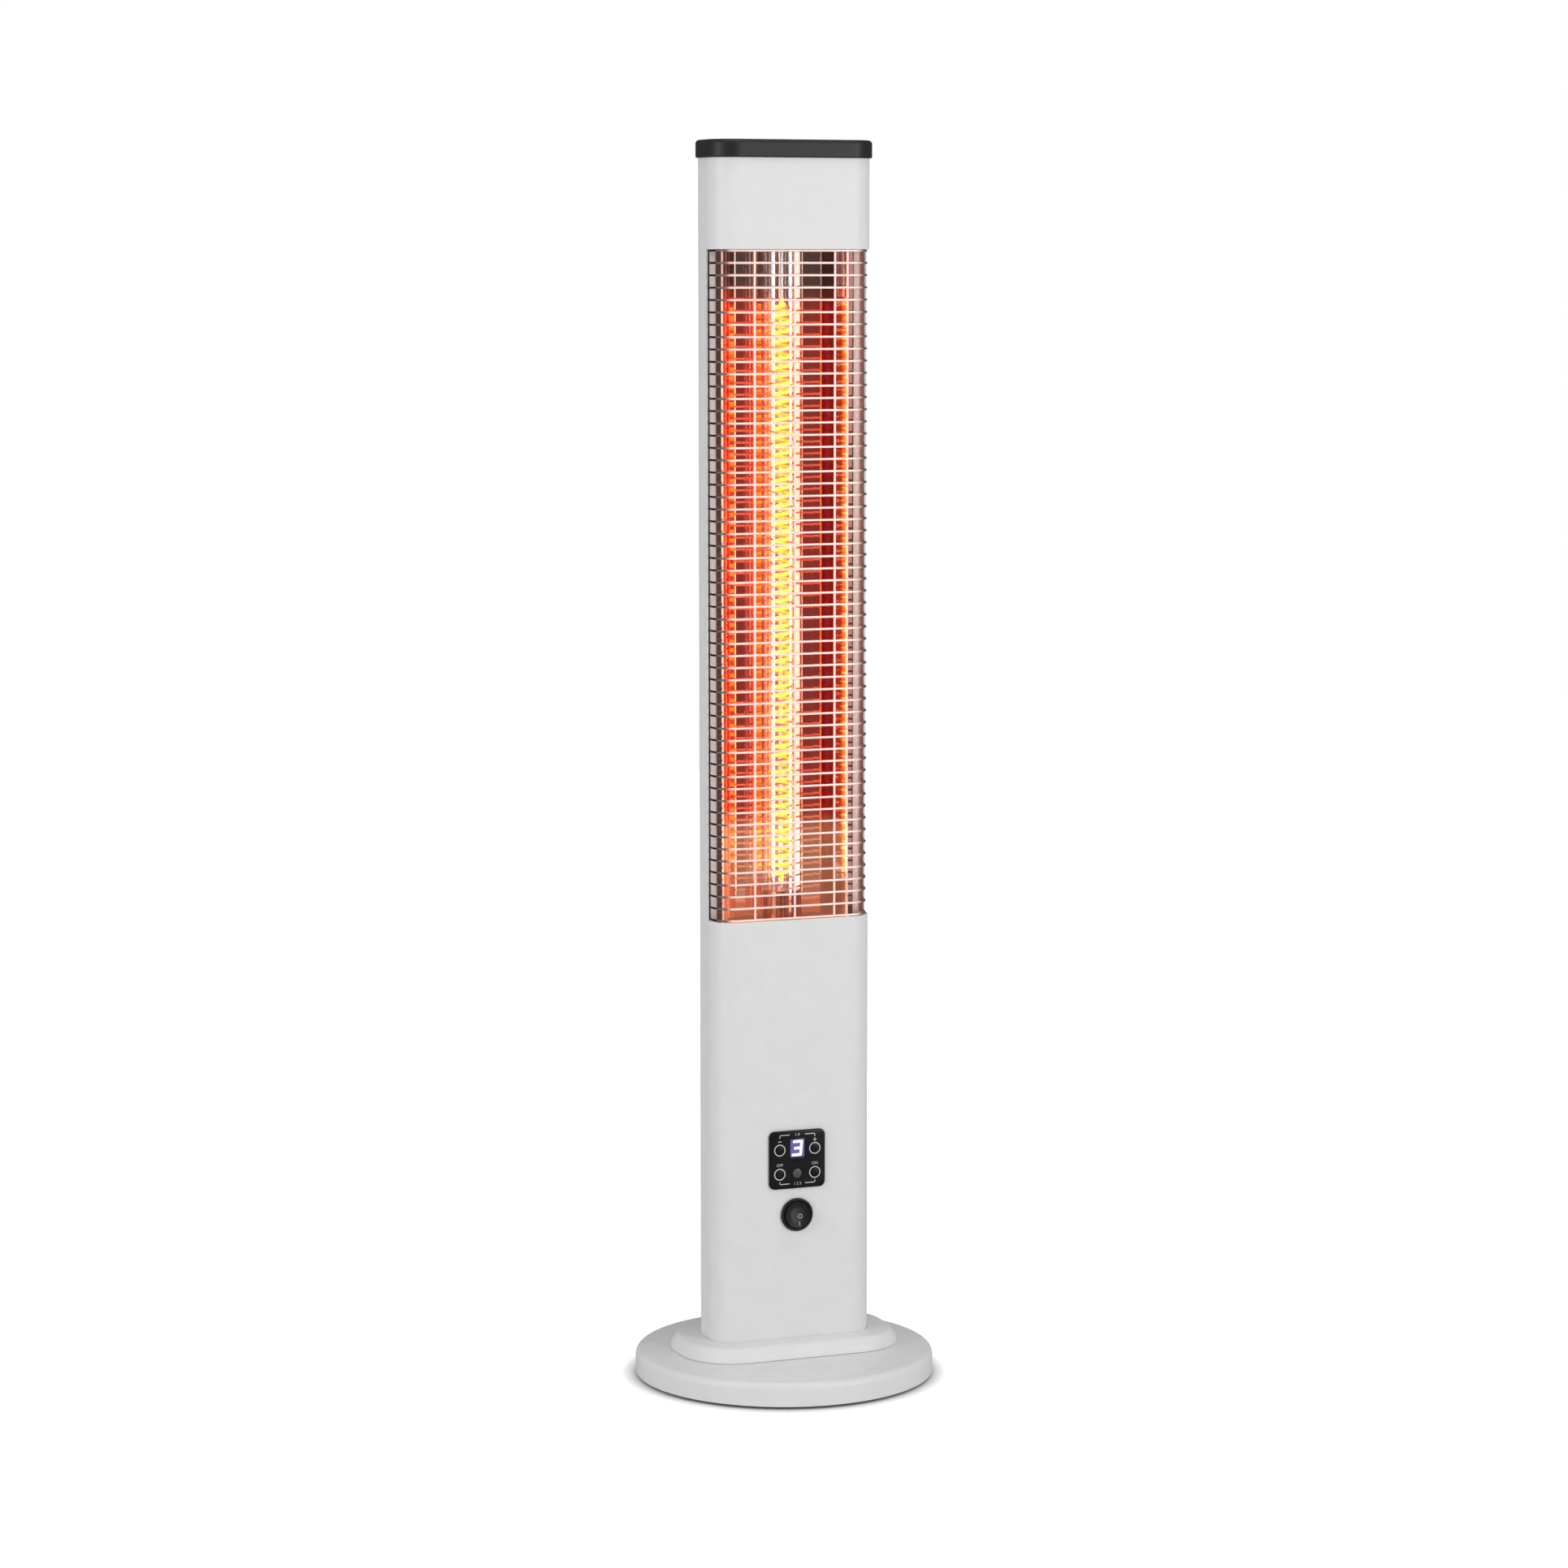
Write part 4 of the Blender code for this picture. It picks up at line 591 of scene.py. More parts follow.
def grained(name, base, rough, grain, relief, change, metal=0.0, dust=0.0, sheen_level=0.5):
    """Paint, plastic or rubber: a base colour under fine grain, slow tone and dust."""
    material, w, shader = blank_material(name)
    group = w.effect("Grain", {"Scale": grain})
    tone = w.ramp(group["Tone"], 0.3, 0.7)
    tinted = w.blend(tone, toned(base, 1 - change), toned(base, 1 + change))
    if dust:
        mask = w.effect("Settled Dust", {"Amount": dust})
        tinted = w.blend(mask["Mask"], tinted, DUST)
    w.feed(shader, {
        "Base Color": tinted,
        "Roughness": w.spread(group["Tone"], rough - 0.05, rough + 0.05),
        "Metallic": metal,
        "Specular IOR Level": sheen_level,
    })
    link_bump(w, shader, group["Height"], relief, 0.0002)
    return material


def bare_metal(name, base, rough, across, relief=0.08, change=0.06, haze=NO_GLOW):
    """Drawn or rolled metal: lines along one axis under a slow change of tone, and haze, a painted glow given as
    emission.
    """
    material, w, shader = blank_material(name)
    inputs = dict(zip(("Across X", "Across Y", "Across Z"), across))
    group = w.effect("Drawn Lines", inputs)
    tone = w.ramp(group["Height"], 0.35, 0.65)
    w.feed(shader, {
        "Base Color": w.blend(tone, toned(base, 1 - change), base),
        "Roughness": w.spread(group["Tone"], rough * 0.7, rough * 1.3),
        "Metallic": 1.0,
        "Emission Color": (*haze, 1.0),
        "Emission Strength": 1.0,
    })
    link_bump(w, shader, group["Height"], relief, 0.0001)
    return material


def mirror_material(name, colours, coil_low, coil_high, edge, back_half):
    """Polished mirror in the lamp's glow, with the glow's light painted into its tint.

    Up its height it is a painted pale red, then a painted deep red beside the lit length, then painted dark.
    Across its width it has painted dark shade on its flanges outside a lip with a painted highlight,
    a painted reflection of the glow making the left side paler beside the lit length, and a dark right flank
    without that painted reflection.
    """
    material, w, shader = blank_material(name)
    x, _, z = w.place()
    aside = w.math("ABSOLUTE", x)
    level = w.plus(z, w.times(w.minus(w.noise(30.0), 0.5), 0.020))
    lit = w.minus(1.0, w.ramp(level, coil_high - 0.006, coil_high + 0.012))
    low = w.minus(1.0, w.ramp(level, coil_low + 0.038, coil_low + 0.060))
    # Painted glow and shade: the tint is dark above, deep red beside and pale red below the lit length.
    tint = w.blend(lit, colours.mirror_painted_dark, colours.mirror_painted_glow)
    tint = w.blend(low, tint, colours.mirror_low)
    # Painted reflection of the glow: the left flank is paler beside the lit length.
    pale = w.times(lit, w.ramp(x, -back_half, -back_half - 0.002))
    tint = w.blend(w.times(pale, 0.75), tint, colours.mirror_pale_painted_reflection)
    # Painted shade: a dark band inside the lip, and dark flanges outside it.
    inner = w.times(w.ramp(x, edge - 0.0198, edge - 0.0188), w.ramp(x, edge - 0.0068, edge - 0.0090))
    tint = w.blend(w.times(inner, 0.92), tint, colours.mirror_flange_painted_shade)
    flange = w.ramp(aside, edge - 0.0042, edge - 0.0037)
    tint = w.blend(flange, tint, colours.mirror_flange_painted_shade)
    w.feed(shader, {"Base Color": tint})
    # The mirror's emission is a painted glow; on the lip it is a painted highlight.
    painted_glow_unlit = (0.030, 0.012, 0.010)
    haze = w.blend(lit, painted_glow_unlit, colours.painted_glow_lit)
    haze = w.blend(low, haze, colours.painted_glow_low)
    haze = w.blend(flange, haze, colours.painted_glow_edge)
    lip = w.ramp(w.away(aside, edge - 0.0053), 0.0012, 0.0008)
    w.feed(shader, {
        "Emission Color": w.blend(lip, haze, colours.painted_highlight_lip),
        "Emission Strength": 1.0,
        "Metallic": 1.0,
    })
    streaks = w.effect("Drawn Lines", {"Across X": 700.0, "Across Y": 700.0, "Across Z": 5.0})
    w.feed(shader, {"Roughness": w.spread(streaks["Tone"], 0.015, 0.05)})
    link_bump(w, shader, w.noise(45.0, 1.0, (1.0, 1.0, 0.35)), 0.06, 0.002)
    return material


def wire_material(name, colours, edge):
    """Chromed wire: bright across the front under a painted warm glow, with painted shade where it turns in
    beside the window and on the end rods, the right rod reddened by a painted glow.
    """
    material, w, shader = blank_material(name)
    x = w.place()[0]
    group = w.effect("Drawn Lines", {"Across X": 30.0, "Across Y": 600.0, "Across Z": 600.0})
    worn = w.ramp(group["Tone"], 0.3, 0.7)
    bright = w.blend(worn, toned(colours.wire, 0.9), colours.wire)
    # Painted shade: the wire darkens where it turns in beside the window.
    turned = w.ramp(w.math("ABSOLUTE", x), edge - 0.0055, edge + 0.0010)
    tint = w.blend(turned, bright, colours.wire_side_painted_shade)
    # Painted shade on the end rods: black on the left, dark red with a painted glow on the right.
    rod = w.ramp(w.math("ABSOLUTE", x), edge + 0.0055, edge + 0.0064)
    left_rod_painted_shade = (0.006, 0.006, 0.007)
    right_rod_painted_glow_and_shade = (0.30, 0.13, 0.10)
    tint = w.blend(rod, tint, w.blend(w.ramp(x, -0.01, 0.01), left_rod_painted_shade, right_rod_painted_glow_and_shade))
    w.feed(shader, {"Base Color": tint})
    # Painted glow: emission on the front wires stands in for the emitter's warm light.
    painted_glow_warmth = (0.24, 0.160, 0.135)
    glow = w.blend(turned, painted_glow_warmth, NO_GLOW)
    w.feed(shader, {
        "Emission Color": glow,
        "Emission Strength": 1.0,
        "Metallic": 0.25,
        "Roughness": w.spread(worn, 0.22, 0.34),
    })
    link_bump(w, shader, group["Height"], 0.05, 0.0001)
    return material


def flange_material(name, colours, edge):
    """White-painted flange with a painted glow: plain white at the left, warmer towards the glow and on the
    right.
    """
    material, w, shader = blank_material(name)
    x = w.place()[0]
    group = w.effect("Grain", {"Scale": 700.0})
    paint = w.blend(w.ramp(group["Tone"], 0.3, 0.7), toned(colours.paint, 0.97), colours.paint)
    # Painted glow: warmer towards the lamp on the left flange and all over the right one.
    near = w.ramp(x, -edge - 0.0040, -edge - 0.0005)
    left_painted_glow = (0.82, 0.62, 0.56)
    warm = w.blend(w.ramp(x, -0.01, 0.01), left_painted_glow, colours.flange_painted_glow)
    w.feed(shader, {
        "Base Color": w.blend(near, paint, warm),
        "Roughness": 0.45,
    })
    link_bump(w, shader, group["Height"], 0.10, 0.0002)
    return material


def glow_material(name, colours, centre):
    """Carbon cord at full heat: hot strands over a deep glow, redder on the mirror's side."""
    material, w, shader = blank_material(name)
    along = w.add("ShaderNodeAttribute", {"attribute_name": "along"}).outputs["Fac"]
    around = w.add("ShaderNodeAttribute", {"attribute_name": "around"}).outputs["Fac"]
    twist_per_metre = 2600.0
    phase = w.times(along, twist_per_metre)
    weave = w.math("ABSOLUTE", w.math("SINE", w.plus(phase, around)))
    cross = w.math("ABSOLUTE", w.math("SINE", w.minus(phase, around)))
    strands = w.times(w.plus(weave, cross), 0.5)
    spots = w.ramp(w.noise(420.0, 3.0), 0.15, 0.50)
    facing = w.add("ShaderNodeLayerWeight", inputs={"Blend": 0.35}).outputs["Facing"]
    heat = w.times(w.plus(strands, 0.35), spots)
    heat = w.times(heat, w.minus(1.2, facing))
    outward = w.ramp(w.place()[1], centre.y + 0.003, centre.y - 0.004)
    heat = w.times(heat, w.plus(w.times(outward, 0.65), 0.35))
    tint = w.blend(w.ramp(heat, 0.12, 0.80), colours.glow_deep, colours.glow_hot)
    w.feed(shader, {
        "Base Color": (0.03, 0.02, 0.02, 1.0),
        "Roughness": 0.7,
        "Emission Color": tint,
    })
    path = w.add("ShaderNodeLightPath").outputs
    strength = w.plus(w.times(path["Is Glossy Ray"], 1.8), 0.9)
    strength = w.plus(strength, w.times(path["Is Diffuse Ray"], 11.0))
    w.feed(shader, {"Emission Strength": strength})
    link_bump(w, shader, strands, 0.4, 0.0003)
    return material


def quartz_material(name, low, high):
    """Clear quartz with faint drawing lines and a painted red glow, given as emission, beside the lit length."""
    material, w, shader = blank_material(name)
    group = w.effect("Drawn Lines", {"Across Z": 3.0, "Across X": 160.0})
    tone = w.ramp(group["Height"], 0.3, 0.7)
    w.feed(shader, {
        "Base Color": w.blend(tone, (0.97, 0.96, 0.98), (1.0, 1.0, 1.0)),
        "Roughness": w.spread(group["Tone"], 0.0, 0.03),
        "IOR": 1.46,
        "Transmission Weight": 1.0,
        "Coat Weight": 1.0,
        "Coat IOR": 1.7,
        "Coat Roughness": 0.02,
    })
    link_bump(w, shader, group["Height"], 0.02, 0.0002)
    # Painted glow: red emission in the glass beside the lit length.
    height = w.place()[2]
    lit = w.times(w.ramp(height, low, low + 0.03), w.ramp(height, high, high - 0.01))
    haze = w.times(lit, w.ramp(group["Height"], 0.30, 0.75))
    red = (0.20, 0.028, 0.010)
    w.feed(shader, {
        "Emission Color": w.blend(haze, NO_GLOW, red),
        "Emission Strength": 1.0,
    })
    clear = w.add("ShaderNodeBsdfTransparent")
    path = w.add("ShaderNodeLightPath")
    mixed = w.add("ShaderNodeMixShader", inputs={0: path.outputs["Is Shadow Ray"], 1: shader.outputs[0],
                                                 2: clear.outputs[0]})
    output = material.node_tree.nodes["Material Output"]
    w.link(mixed.outputs[0], output.inputs["Surface"])
    return material


def lit_material(name, tint, strength):
    """Light that shines out of a window, a little uneven."""
    material, w, shader = blank_material(name)
    uneven = w.ramp(w.noise(700.0, 2.0), 0.2, 0.8)
    w.feed(shader, {
        "Emission Color": w.blend(uneven, toned(tint, 0.85), tint),
        "Emission Strength": strength,
        "Base Color": (0.1, 0.1, 0.1, 1.0),
        "Roughness": 0.3,
    })
    return material


def display_material(name, colours, centre, half_wide, half_high, rise):
    """Smoked window with a violet haze that fades away from the lit digit."""
    material, w, shader = blank_material(name)
    x, _, z = w.place()
    near_x = w.ramp(w.away(x, centre[0]), half_wide, half_wide * 0.75)
    reach = half_high - rise
    near_z = w.ramp(w.away(z, centre[2] + rise), reach, reach * 0.80)
    mottle = w.ramp(w.noise(500.0, 2.0), 0.1, 0.9)
    violet = (0.16, 0.14, 0.42)
    uneven = w.plus(w.times(mottle, 0.3), 0.7)
    haze = w.times(w.times(near_x, near_z), uneven)
    w.feed(shader, {
        "Emission Color": w.blend(haze, NO_GLOW, violet),
        "Emission Strength": 1.0,
        "Base Color": (*colours.black, 1.0),
    })
    group = w.effect("Grain", {"Scale": 1500.0})
    w.feed(shader, {"Roughness": w.spread(group["Tone"], 0.10, 0.2)})
    return material


def floor_material(name):
    """Pale floor that keeps shadows: white paint, lifted to white away from the foot."""
    material, w, shader = blank_material(name)
    w.feed(shader, {
        "Roughness": 0.9,
        "Specular IOR Level": 0.0,
    })
    x, y, _ = w.place()
    away = w.math("SQRT", w.plus(w.math("POWER", x, 2.0), w.math("POWER", y, 2.0)))
    # Lift held back under and round the foot: the darker ring there is real shadow with a painted fall-off.
    under = w.times(w.ramp(away, 0.122, 0.146), 0.72)
    lift = w.plus(w.times(w.ramp(away, 0.15, 0.9), 0.50), under)
    path = w.add("ShaderNodeLightPath").outputs
    bent = w.math("MAXIMUM", path["Is Glossy Ray"], path["Is Transmission Ray"])
    pale = w.blend(bent, (0.80, 0.80, 0.80), (0.30, 0.28, 0.26))
    w.feed(shader, {
        "Base Color": pale,
        "Emission Color": (1.0, 1.0, 1.0, 1.0),
        "Emission Strength": w.times(lift, path["Is Camera Ray"]),
    })
    return material


def finish(name):
    """A finish of the heater, made the first time that it is asked for."""
    made = bpy.data.materials.get(name)
    if made:
        return made
    c = bpy.context.scene.heater_colours
    coil_low, coil_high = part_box("heating_coil")
    window_low, window_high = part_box("display_window")
    window_mid = (window_low + window_high) / 2
    window_half = (window_high - window_low) / 2
    makers = {
        "powder_coat": lambda: grained(name, c.paint, 0.46, 700.0, 0.10, 0.012, dust=0.06),
        "lid_coat": lambda: grained(name, c.lid, 0.42, 1200.0, 0.25, 0.08, dust=0.06, sheen_level=0.35),
        "guard_chrome": lambda: wire_material(name, c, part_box("reflector")[1].x),
        "flange_coat": lambda: flange_material(name, c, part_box("reflector")[1].x),
        "mirror": lambda: mirror_material(
            name, c, coil_low.z, coil_high.z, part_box("reflector")[1].x, bpy.context.scene.heater_sizes.back_half
        ),
        "clear_quartz": lambda: quartz_material(name, coil_low.z, coil_high.z),
        "glow": lambda: glow_material(name, c, (coil_low + coil_high) / 2),
        # Lamp caps: the reddish tint and the emission are the emitter's glow painted onto the steel.
        "lamp_steel": lambda: bare_metal(
            name, (0.62, 0.25, 0.17), 0.22, (420.0, 420.0, 3.0), 0.1, 0.8, (0.13, 0.035, 0.022)
        ),
        "lead_wire": lambda: bare_metal(name, (0.95, 0.93, 0.90), 0.25, (700.0, 700.0, 20.0)),
        "zinc_sheet": lambda: bare_metal(name, (0.58, 0.59, 0.60), 0.38, (40.0, 40.0, 40.0), 0.15, 0.15),
        "ballast": lambda: grained(name, (0.20, 0.20, 0.21), 0.55, 500.0, 0.4, 0.15, metal=0.8),
        "pad_rubber": lambda: grained(name, (0.028, 0.028, 0.028), 0.80, 1400.0, 0.35, 0.1),
        "grained_black": lambda: grained(
            name, (0.012, 0.012, 0.013), 0.38, 1600.0, 0.18, 0.1, dust=0.1, sheen_level=0.35
        ),
        "gloss_black": lambda: grained(name, c.black, 0.30, 2200.0, 0.03, 0.1, sheen_level=0.22),
        "sensor_lens": lambda: grained(name, (0.085, 0.085, 0.088), 0.30, 1800.0, 0.05, 0.1),
        "mark_print": lambda: grained(name, (0.36, 0.36, 0.36), 0.5, 2500.0, 0.05, 0.06),
        "print": lambda: grained(name, c.print_white, 0.5, 2500.0, 0.05, 0.06),
        "board": lambda: grained(name, (0.02, 0.11, 0.05), 0.42, 800.0, 0.2, 0.25),
        "digit": lambda: lit_material(name, c.digit, 1.4),
        "display": lambda: display_material(
            name, c, window_mid, window_half.x, window_half.z, bpy.context.scene.heater_sizes.digit_rise
        ),
        "floor": lambda: floor_material(name),
    }
    return makers[name]()


# Operators: one for each piece or group of like pieces


class HEATER_OT_stage(bpy.types.Operator):
    """Camera at the photograph's angle, soft lamps, pale floor and white surroundings"""

    bl_idname = "heater.stage"
    bl_label = "Stage"

    def execute(self, context):
        scene = context.scene
        stage = scene.heater_stage
        scene.view_settings.view_transform = "Standard"
        self.camera(scene, stage)
        self.world(scene, stage)
        self.lamps(scene, stage)
        mesh = bpy.data.meshes.new("floor")
        far = 4.0
        mesh.from_pydata([(-far, -far, 0), (far, -far, 0), (far, far, 0), (-far, far, 0)], [], [(0, 1, 2, 3)])
        mesh.materials.append(finish("floor"))
        floor = bpy.data.objects.new("floor", mesh)
        scene.collection.objects.link(floor)
        return {"FINISHED"}

    def camera(self, scene, stage):
        """Camera round the column's axis, tilted a little down, with no shift."""
        data = bpy.data.cameras.new("camera")
        data.lens = stage.lens
        data.sensor_width = 36.0
        camera = bpy.data.objects.new("camera", data)
        back = Vector((math.sin(stage.yaw), -math.cos(stage.yaw), 0.0)) * stage.distance
        camera.location = (back.x, back.y, stage.height)
        camera.rotation_euler = (math.pi / 2 - stage.pitch, 0.0, stage.yaw)
        scene.collection.objects.link(camera)
        scene.camera = camera

    def world(self, scene, stage):
        """White to the camera, a dark room to metal and glass, a soft level of light for the rest."""
        world = bpy.data.worlds.new("studio")
        world.use_nodes = True
        w = Wiring(world.node_tree)
        path = w.add("ShaderNodeLightPath").outputs
        bent = w.math("MAXIMUM", path["Is Glossy Ray"], path["Is Transmission Ray"])
        other = w.spread(bent, stage.ambient, stage.mirrored)
        background = world.node_tree.nodes["Background"]
        background.inputs["Color"].default_value = (1.0, 1.0, 1.0, 1.0)
        strength = w.math("MAXIMUM", path["Is Camera Ray"], other)
        w.link(strength, background.inputs["Strength"])
        scene.world = world

    def lamps(self, scene, stage):
        """Two tall lamps and one overhead: the right one draws the bright line on the glass."""
        plan = (
            ("key", (1.37, -2.33, 0.95), (0.61, 2.1), stage.key),
            ("fill", (-2.75, -0.9, 1.0), (1.2, 2.0), stage.fill),
            ("top", (0.0, -0.5, 2.9), (1.4, 1.4), stage.top),
        )
        for name, place, size, watts in plan:
            data = bpy.data.lights.new(name, "AREA")
            data.shape = "RECTANGLE"
            data.size, data.size_y = size
            data.energy = watts
            lamp = bpy.data.objects.new(name, data)
            lamp.location = place
            aim = Vector((0, 0, min(place[2], 1.0))) - Vector(place)
            lamp.rotation_euler = aim.to_track_quat("-Z", "Y").to_euler()
            lamp.visible_camera = False
            scene.collection.objects.link(lamp)


class HEATER_OT_column(bpy.types.Operator):
    """Sheet column with its window, flanges and openings, and the dark lid"""

    bl_idname = "heater.column"
    bl_label = "Column and lid"

    def execute(self, context):
        sizes = context.scene.heater_sizes
        self.housing(sizes)
        self.lid(sizes)
        return {"FINISHED"}

    def housing(self, sizes):
        """Level ring of the column's outline raised through its bands, less the openings."""
        low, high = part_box("housing")
        mirror_low, mirror_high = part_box("reflector")
        guard_low, guard_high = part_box("wire_guard")
        half_x, half_y = high.x, high.y
        ring = track(half_x, half_y, sizes.corner)[0]
        per_corner = len(ring) // 4
        left_edge = [[-half_x, sizes.side_edge]]
        right_edge = [[half_x, sizes.side_edge]]
        ring = np.concatenate([ring[: 2 * per_corner], left_edge, ring[2 * per_corner:], right_edge])
        first_cut = 2 * per_corner
        last_cut = len(ring) - 1
        front_flat = 3 * per_corner
        rear_flat = per_corner - 1
        levels = (low.z, guard_low.z - GAP, guard_high.z + GAP, high.z)
        points = at_height(np.stack([ring] * 4), levels).reshape(-1, 3)
        quads = grid_faces(4, len(ring))
        band = np.arange(len(quads)) // len(ring)
        column = np.arange(len(quads)) % len(ring)
        window = (band == 1) & (column >= first_cut) & (column < last_cut)
        flats = (band == 0) & ((column == front_flat) | (column == rear_flat))
        shell = points, quads[~window & ~flats].tolist()
        front = self.flat(points, quads[(band == 0) & (column == front_flat)][0], self.front_holes())
        rear = self.flat(points, quads[(band == 0) & (column == rear_flat)][0], self.rear_holes())
        skin_shape = joined(shell, front, rear)
        housing = make_piece("housing_sheet", skin_shape, "powder_coat", ("housing",),
                             merge=True)
        self.face_outwards(housing.data)
        self.sharpen_rims(housing.data)
        wall = housing.modifiers.new("sheet", "SOLIDIFY")
        wall.thickness = sizes.sheet
        wall.offset = -1.0
        strips = []
        outer = half_x - sizes.sheet
        lap = 0.0006
        inner = mirror_high.x - lap
        for side in (-1, 1):
            near = sizes.flange_front
            far = near + sizes.sheet
            corners = [(side * inner, near), (side * outer, near), (side * outer, far), (side * inner, far)]
            loop = filleted(corners, (0.0003, 0, 0, 0.0003), 3, closed=True)
            strips.append(prism(loop, mirror_low.z, mirror_high.z))
        make_piece("window_flanges", joined(*strips), "flange_coat")

    def flat(self, points, quad, holes):
        """A flat stretch of the column, filled with triangles round its holes."""
        corners = points[quad]
        depth = corners[0, 1]
        loops = [corners[:, [0, 2]]] + holes
        plan = np.concatenate(loops)
        triangles = tessellate_polygon([[Vector((*point, 0)) for point in loop] for loop in loops])
        points = np.column_stack([plan[:, 0], np.full(len(plan), depth), plan[:, 1]])
        return points, [list(triangle) for triangle in triangles]

    def front_holes(self):
        """Openings for the control plate's skirt and the switch's barrel."""
        board_low, board_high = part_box("control_board")
        bezel_low, bezel_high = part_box("switch_bezel")
        middle = (board_low + board_high) / 2
        inset = 0.0001
        half_x = (board_high.x - board_low.x) / 2 - inset
        half_z = (board_high.z - board_low.z) / 2 - inset
        square = track(half_x, half_z, 0.002, steps=5)[0] + (middle.x, middle.z)
        switch = (bezel_low + bezel_high) / 2
        barrel_hole = 0.0130
        return [square, circle(barrel_hole, 48, (switch.x, switch.z))]

    def rear_holes(self):
        """Openings behind the service cover and round the cable gland."""
        cover_low, cover_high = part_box("rear_cover")
        gland_low, gland_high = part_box("cable_gland")
        inset = 0.006
        x = cover_high.x - inset
        opening = [(-x, cover_low.z + inset), (x, cover_low.z + inset)]
        opening += [(x, cover_high.z - inset), (-x, cover_high.z - inset)]
        gland = (gland_low + gland_high) / 2
        gland_hole = 0.0063
        return [np.array(opening), circle(gland_hole, 32, (gland.x, gland.z))]

    def sharpen_rims(self, mesh):
        """Keep the shading of open edges apart from the wall that the sheet gets there."""
        bm = bmesh.new()
        bm.from_mesh(mesh)
        for edge in bm.edges:
            if edge.is_boundary:
                edge.smooth = False
        bm.to_mesh(mesh)
        bm.free()

    def face_outwards(self, mesh):
        """Turn an open skin whose faces look to the column's axis."""
        outward = sum(p.area * p.normal.xy.dot(p.center.xy) for p in mesh.polygons)
        if outward < 0:
            mesh.flip_normals()

    def lid(self, sizes):
        """Profile of the lid carried round the column's outline."""
        low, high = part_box("top_cap")
        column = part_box("housing")[1]
        spigot = -sizes.sheet - GAP
        spigot_wall = 0.0015
        top_wall = 0.0025
        inside = spigot - spigot_wall
        inmost = -sizes.corner * INMOST
        seat = column.z + GAP
        over = high.x - column.x
        corners = [(inside, high.z - top_wall), (inside, low.z), (spigot, low.z), (spigot, seat)]
        corners += [(over, seat), (over, high.z), (inmost, high.z)]
        profile = filleted(corners, (0, 0.0003, 0.0003, 0, 0.0011, sizes.cap_round, 0), 8)
        shape = carried(profile, column.x, column.y, sizes.corner, steps=16)
        make_piece("lid", shape, "lid_coat", ("top_cap",))


class HEATER_OT_foot(bpy.types.Operator):
    """Round foot with its collar, cover, pads and screws"""

    bl_idname = "heater.foot"
    bl_label = "Foot"

    def execute(self, context):
        sizes = context.scene.heater_sizes
        low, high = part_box("base_shell")
        wall = 0.0025
        slope = 0.0025
        slope_run = 0.027
        radius = high.x
        inside = radius - wall
        rim = high.z - slope
        flat = radius - slope_run
        corners = [(flat, high.z - wall), (inside, rim - wall - 0.003), (inside, low.z)]
        corners += [(radius, low.z), (radius, rim), (flat, high.z), (flat - 0.01, high.z)]
        disc = turned(corners, (0, 0.003, 0.0004, 0.0006, 0.0055, 0.02, 0), 10, 160, (0, 0, 0))
        make_piece("foot_disc", disc, "powder_coat", ("base_shell",))
        self.collar(sizes)
        for number in range(1, 5):
            self.pad(f"foot_pad_{number}")
        dress("zinc_sheet", "base_cover", "base_screw_1", "base_screw_2", "base_screw_3", "foot_plate")
        dress("ballast", "base_weight", "base_bolt_left", "base_bolt_right")
        return {"FINISHED"}

    def collar(self, sizes):
        """Collar round the column's foot: a soft upper edge and a flank that spreads."""
        low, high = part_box("pedestal")
        column_low, column_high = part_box("housing")
        spread = high.x - column_high.x
        floor = column_low.z - GAP
        rise = high.z - low.z
        shoulder = spread - 0.0055
        flank = spread - 0.0008
        flank_top = low.z + rise * 0.42
        flank_foot = low.z + rise * 0.10
        corners = [(GAP, floor), (GAP, high.z), (shoulder, high.z), (flank, flank_top)]
        corners += [(spread, flank_foot), (spread, low.z), (-sizes.corner * INMOST, low.z)]
        profile = filleted(corners, (0, 0.0005, 0.0042, 0.006, 0.0010, 0.0003, 0), 8)
        shape = carried(profile, column_high.x, column_high.y, sizes.corner, steps=20)
        make_piece("foot_collar", shape, "powder_coat", ("pedestal",))

    def pad(self, node):
        """Rubber pad with a soft lower edge."""
        low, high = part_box(node)
        middle = (low + high) / 2
        radius = (high.x - low.x) / 2
        core = radius * 0.5
        corners = [(core, low.z), (radius, low.z), (radius, high.z), (core, high.z)]
        shape = turned(corners, (0, 0.0008, 0.0002, 0), 4, 40, (middle.x, middle.y, 0))
        make_piece(f"{node}_moulded", shape, "pad_rubber", (node,))


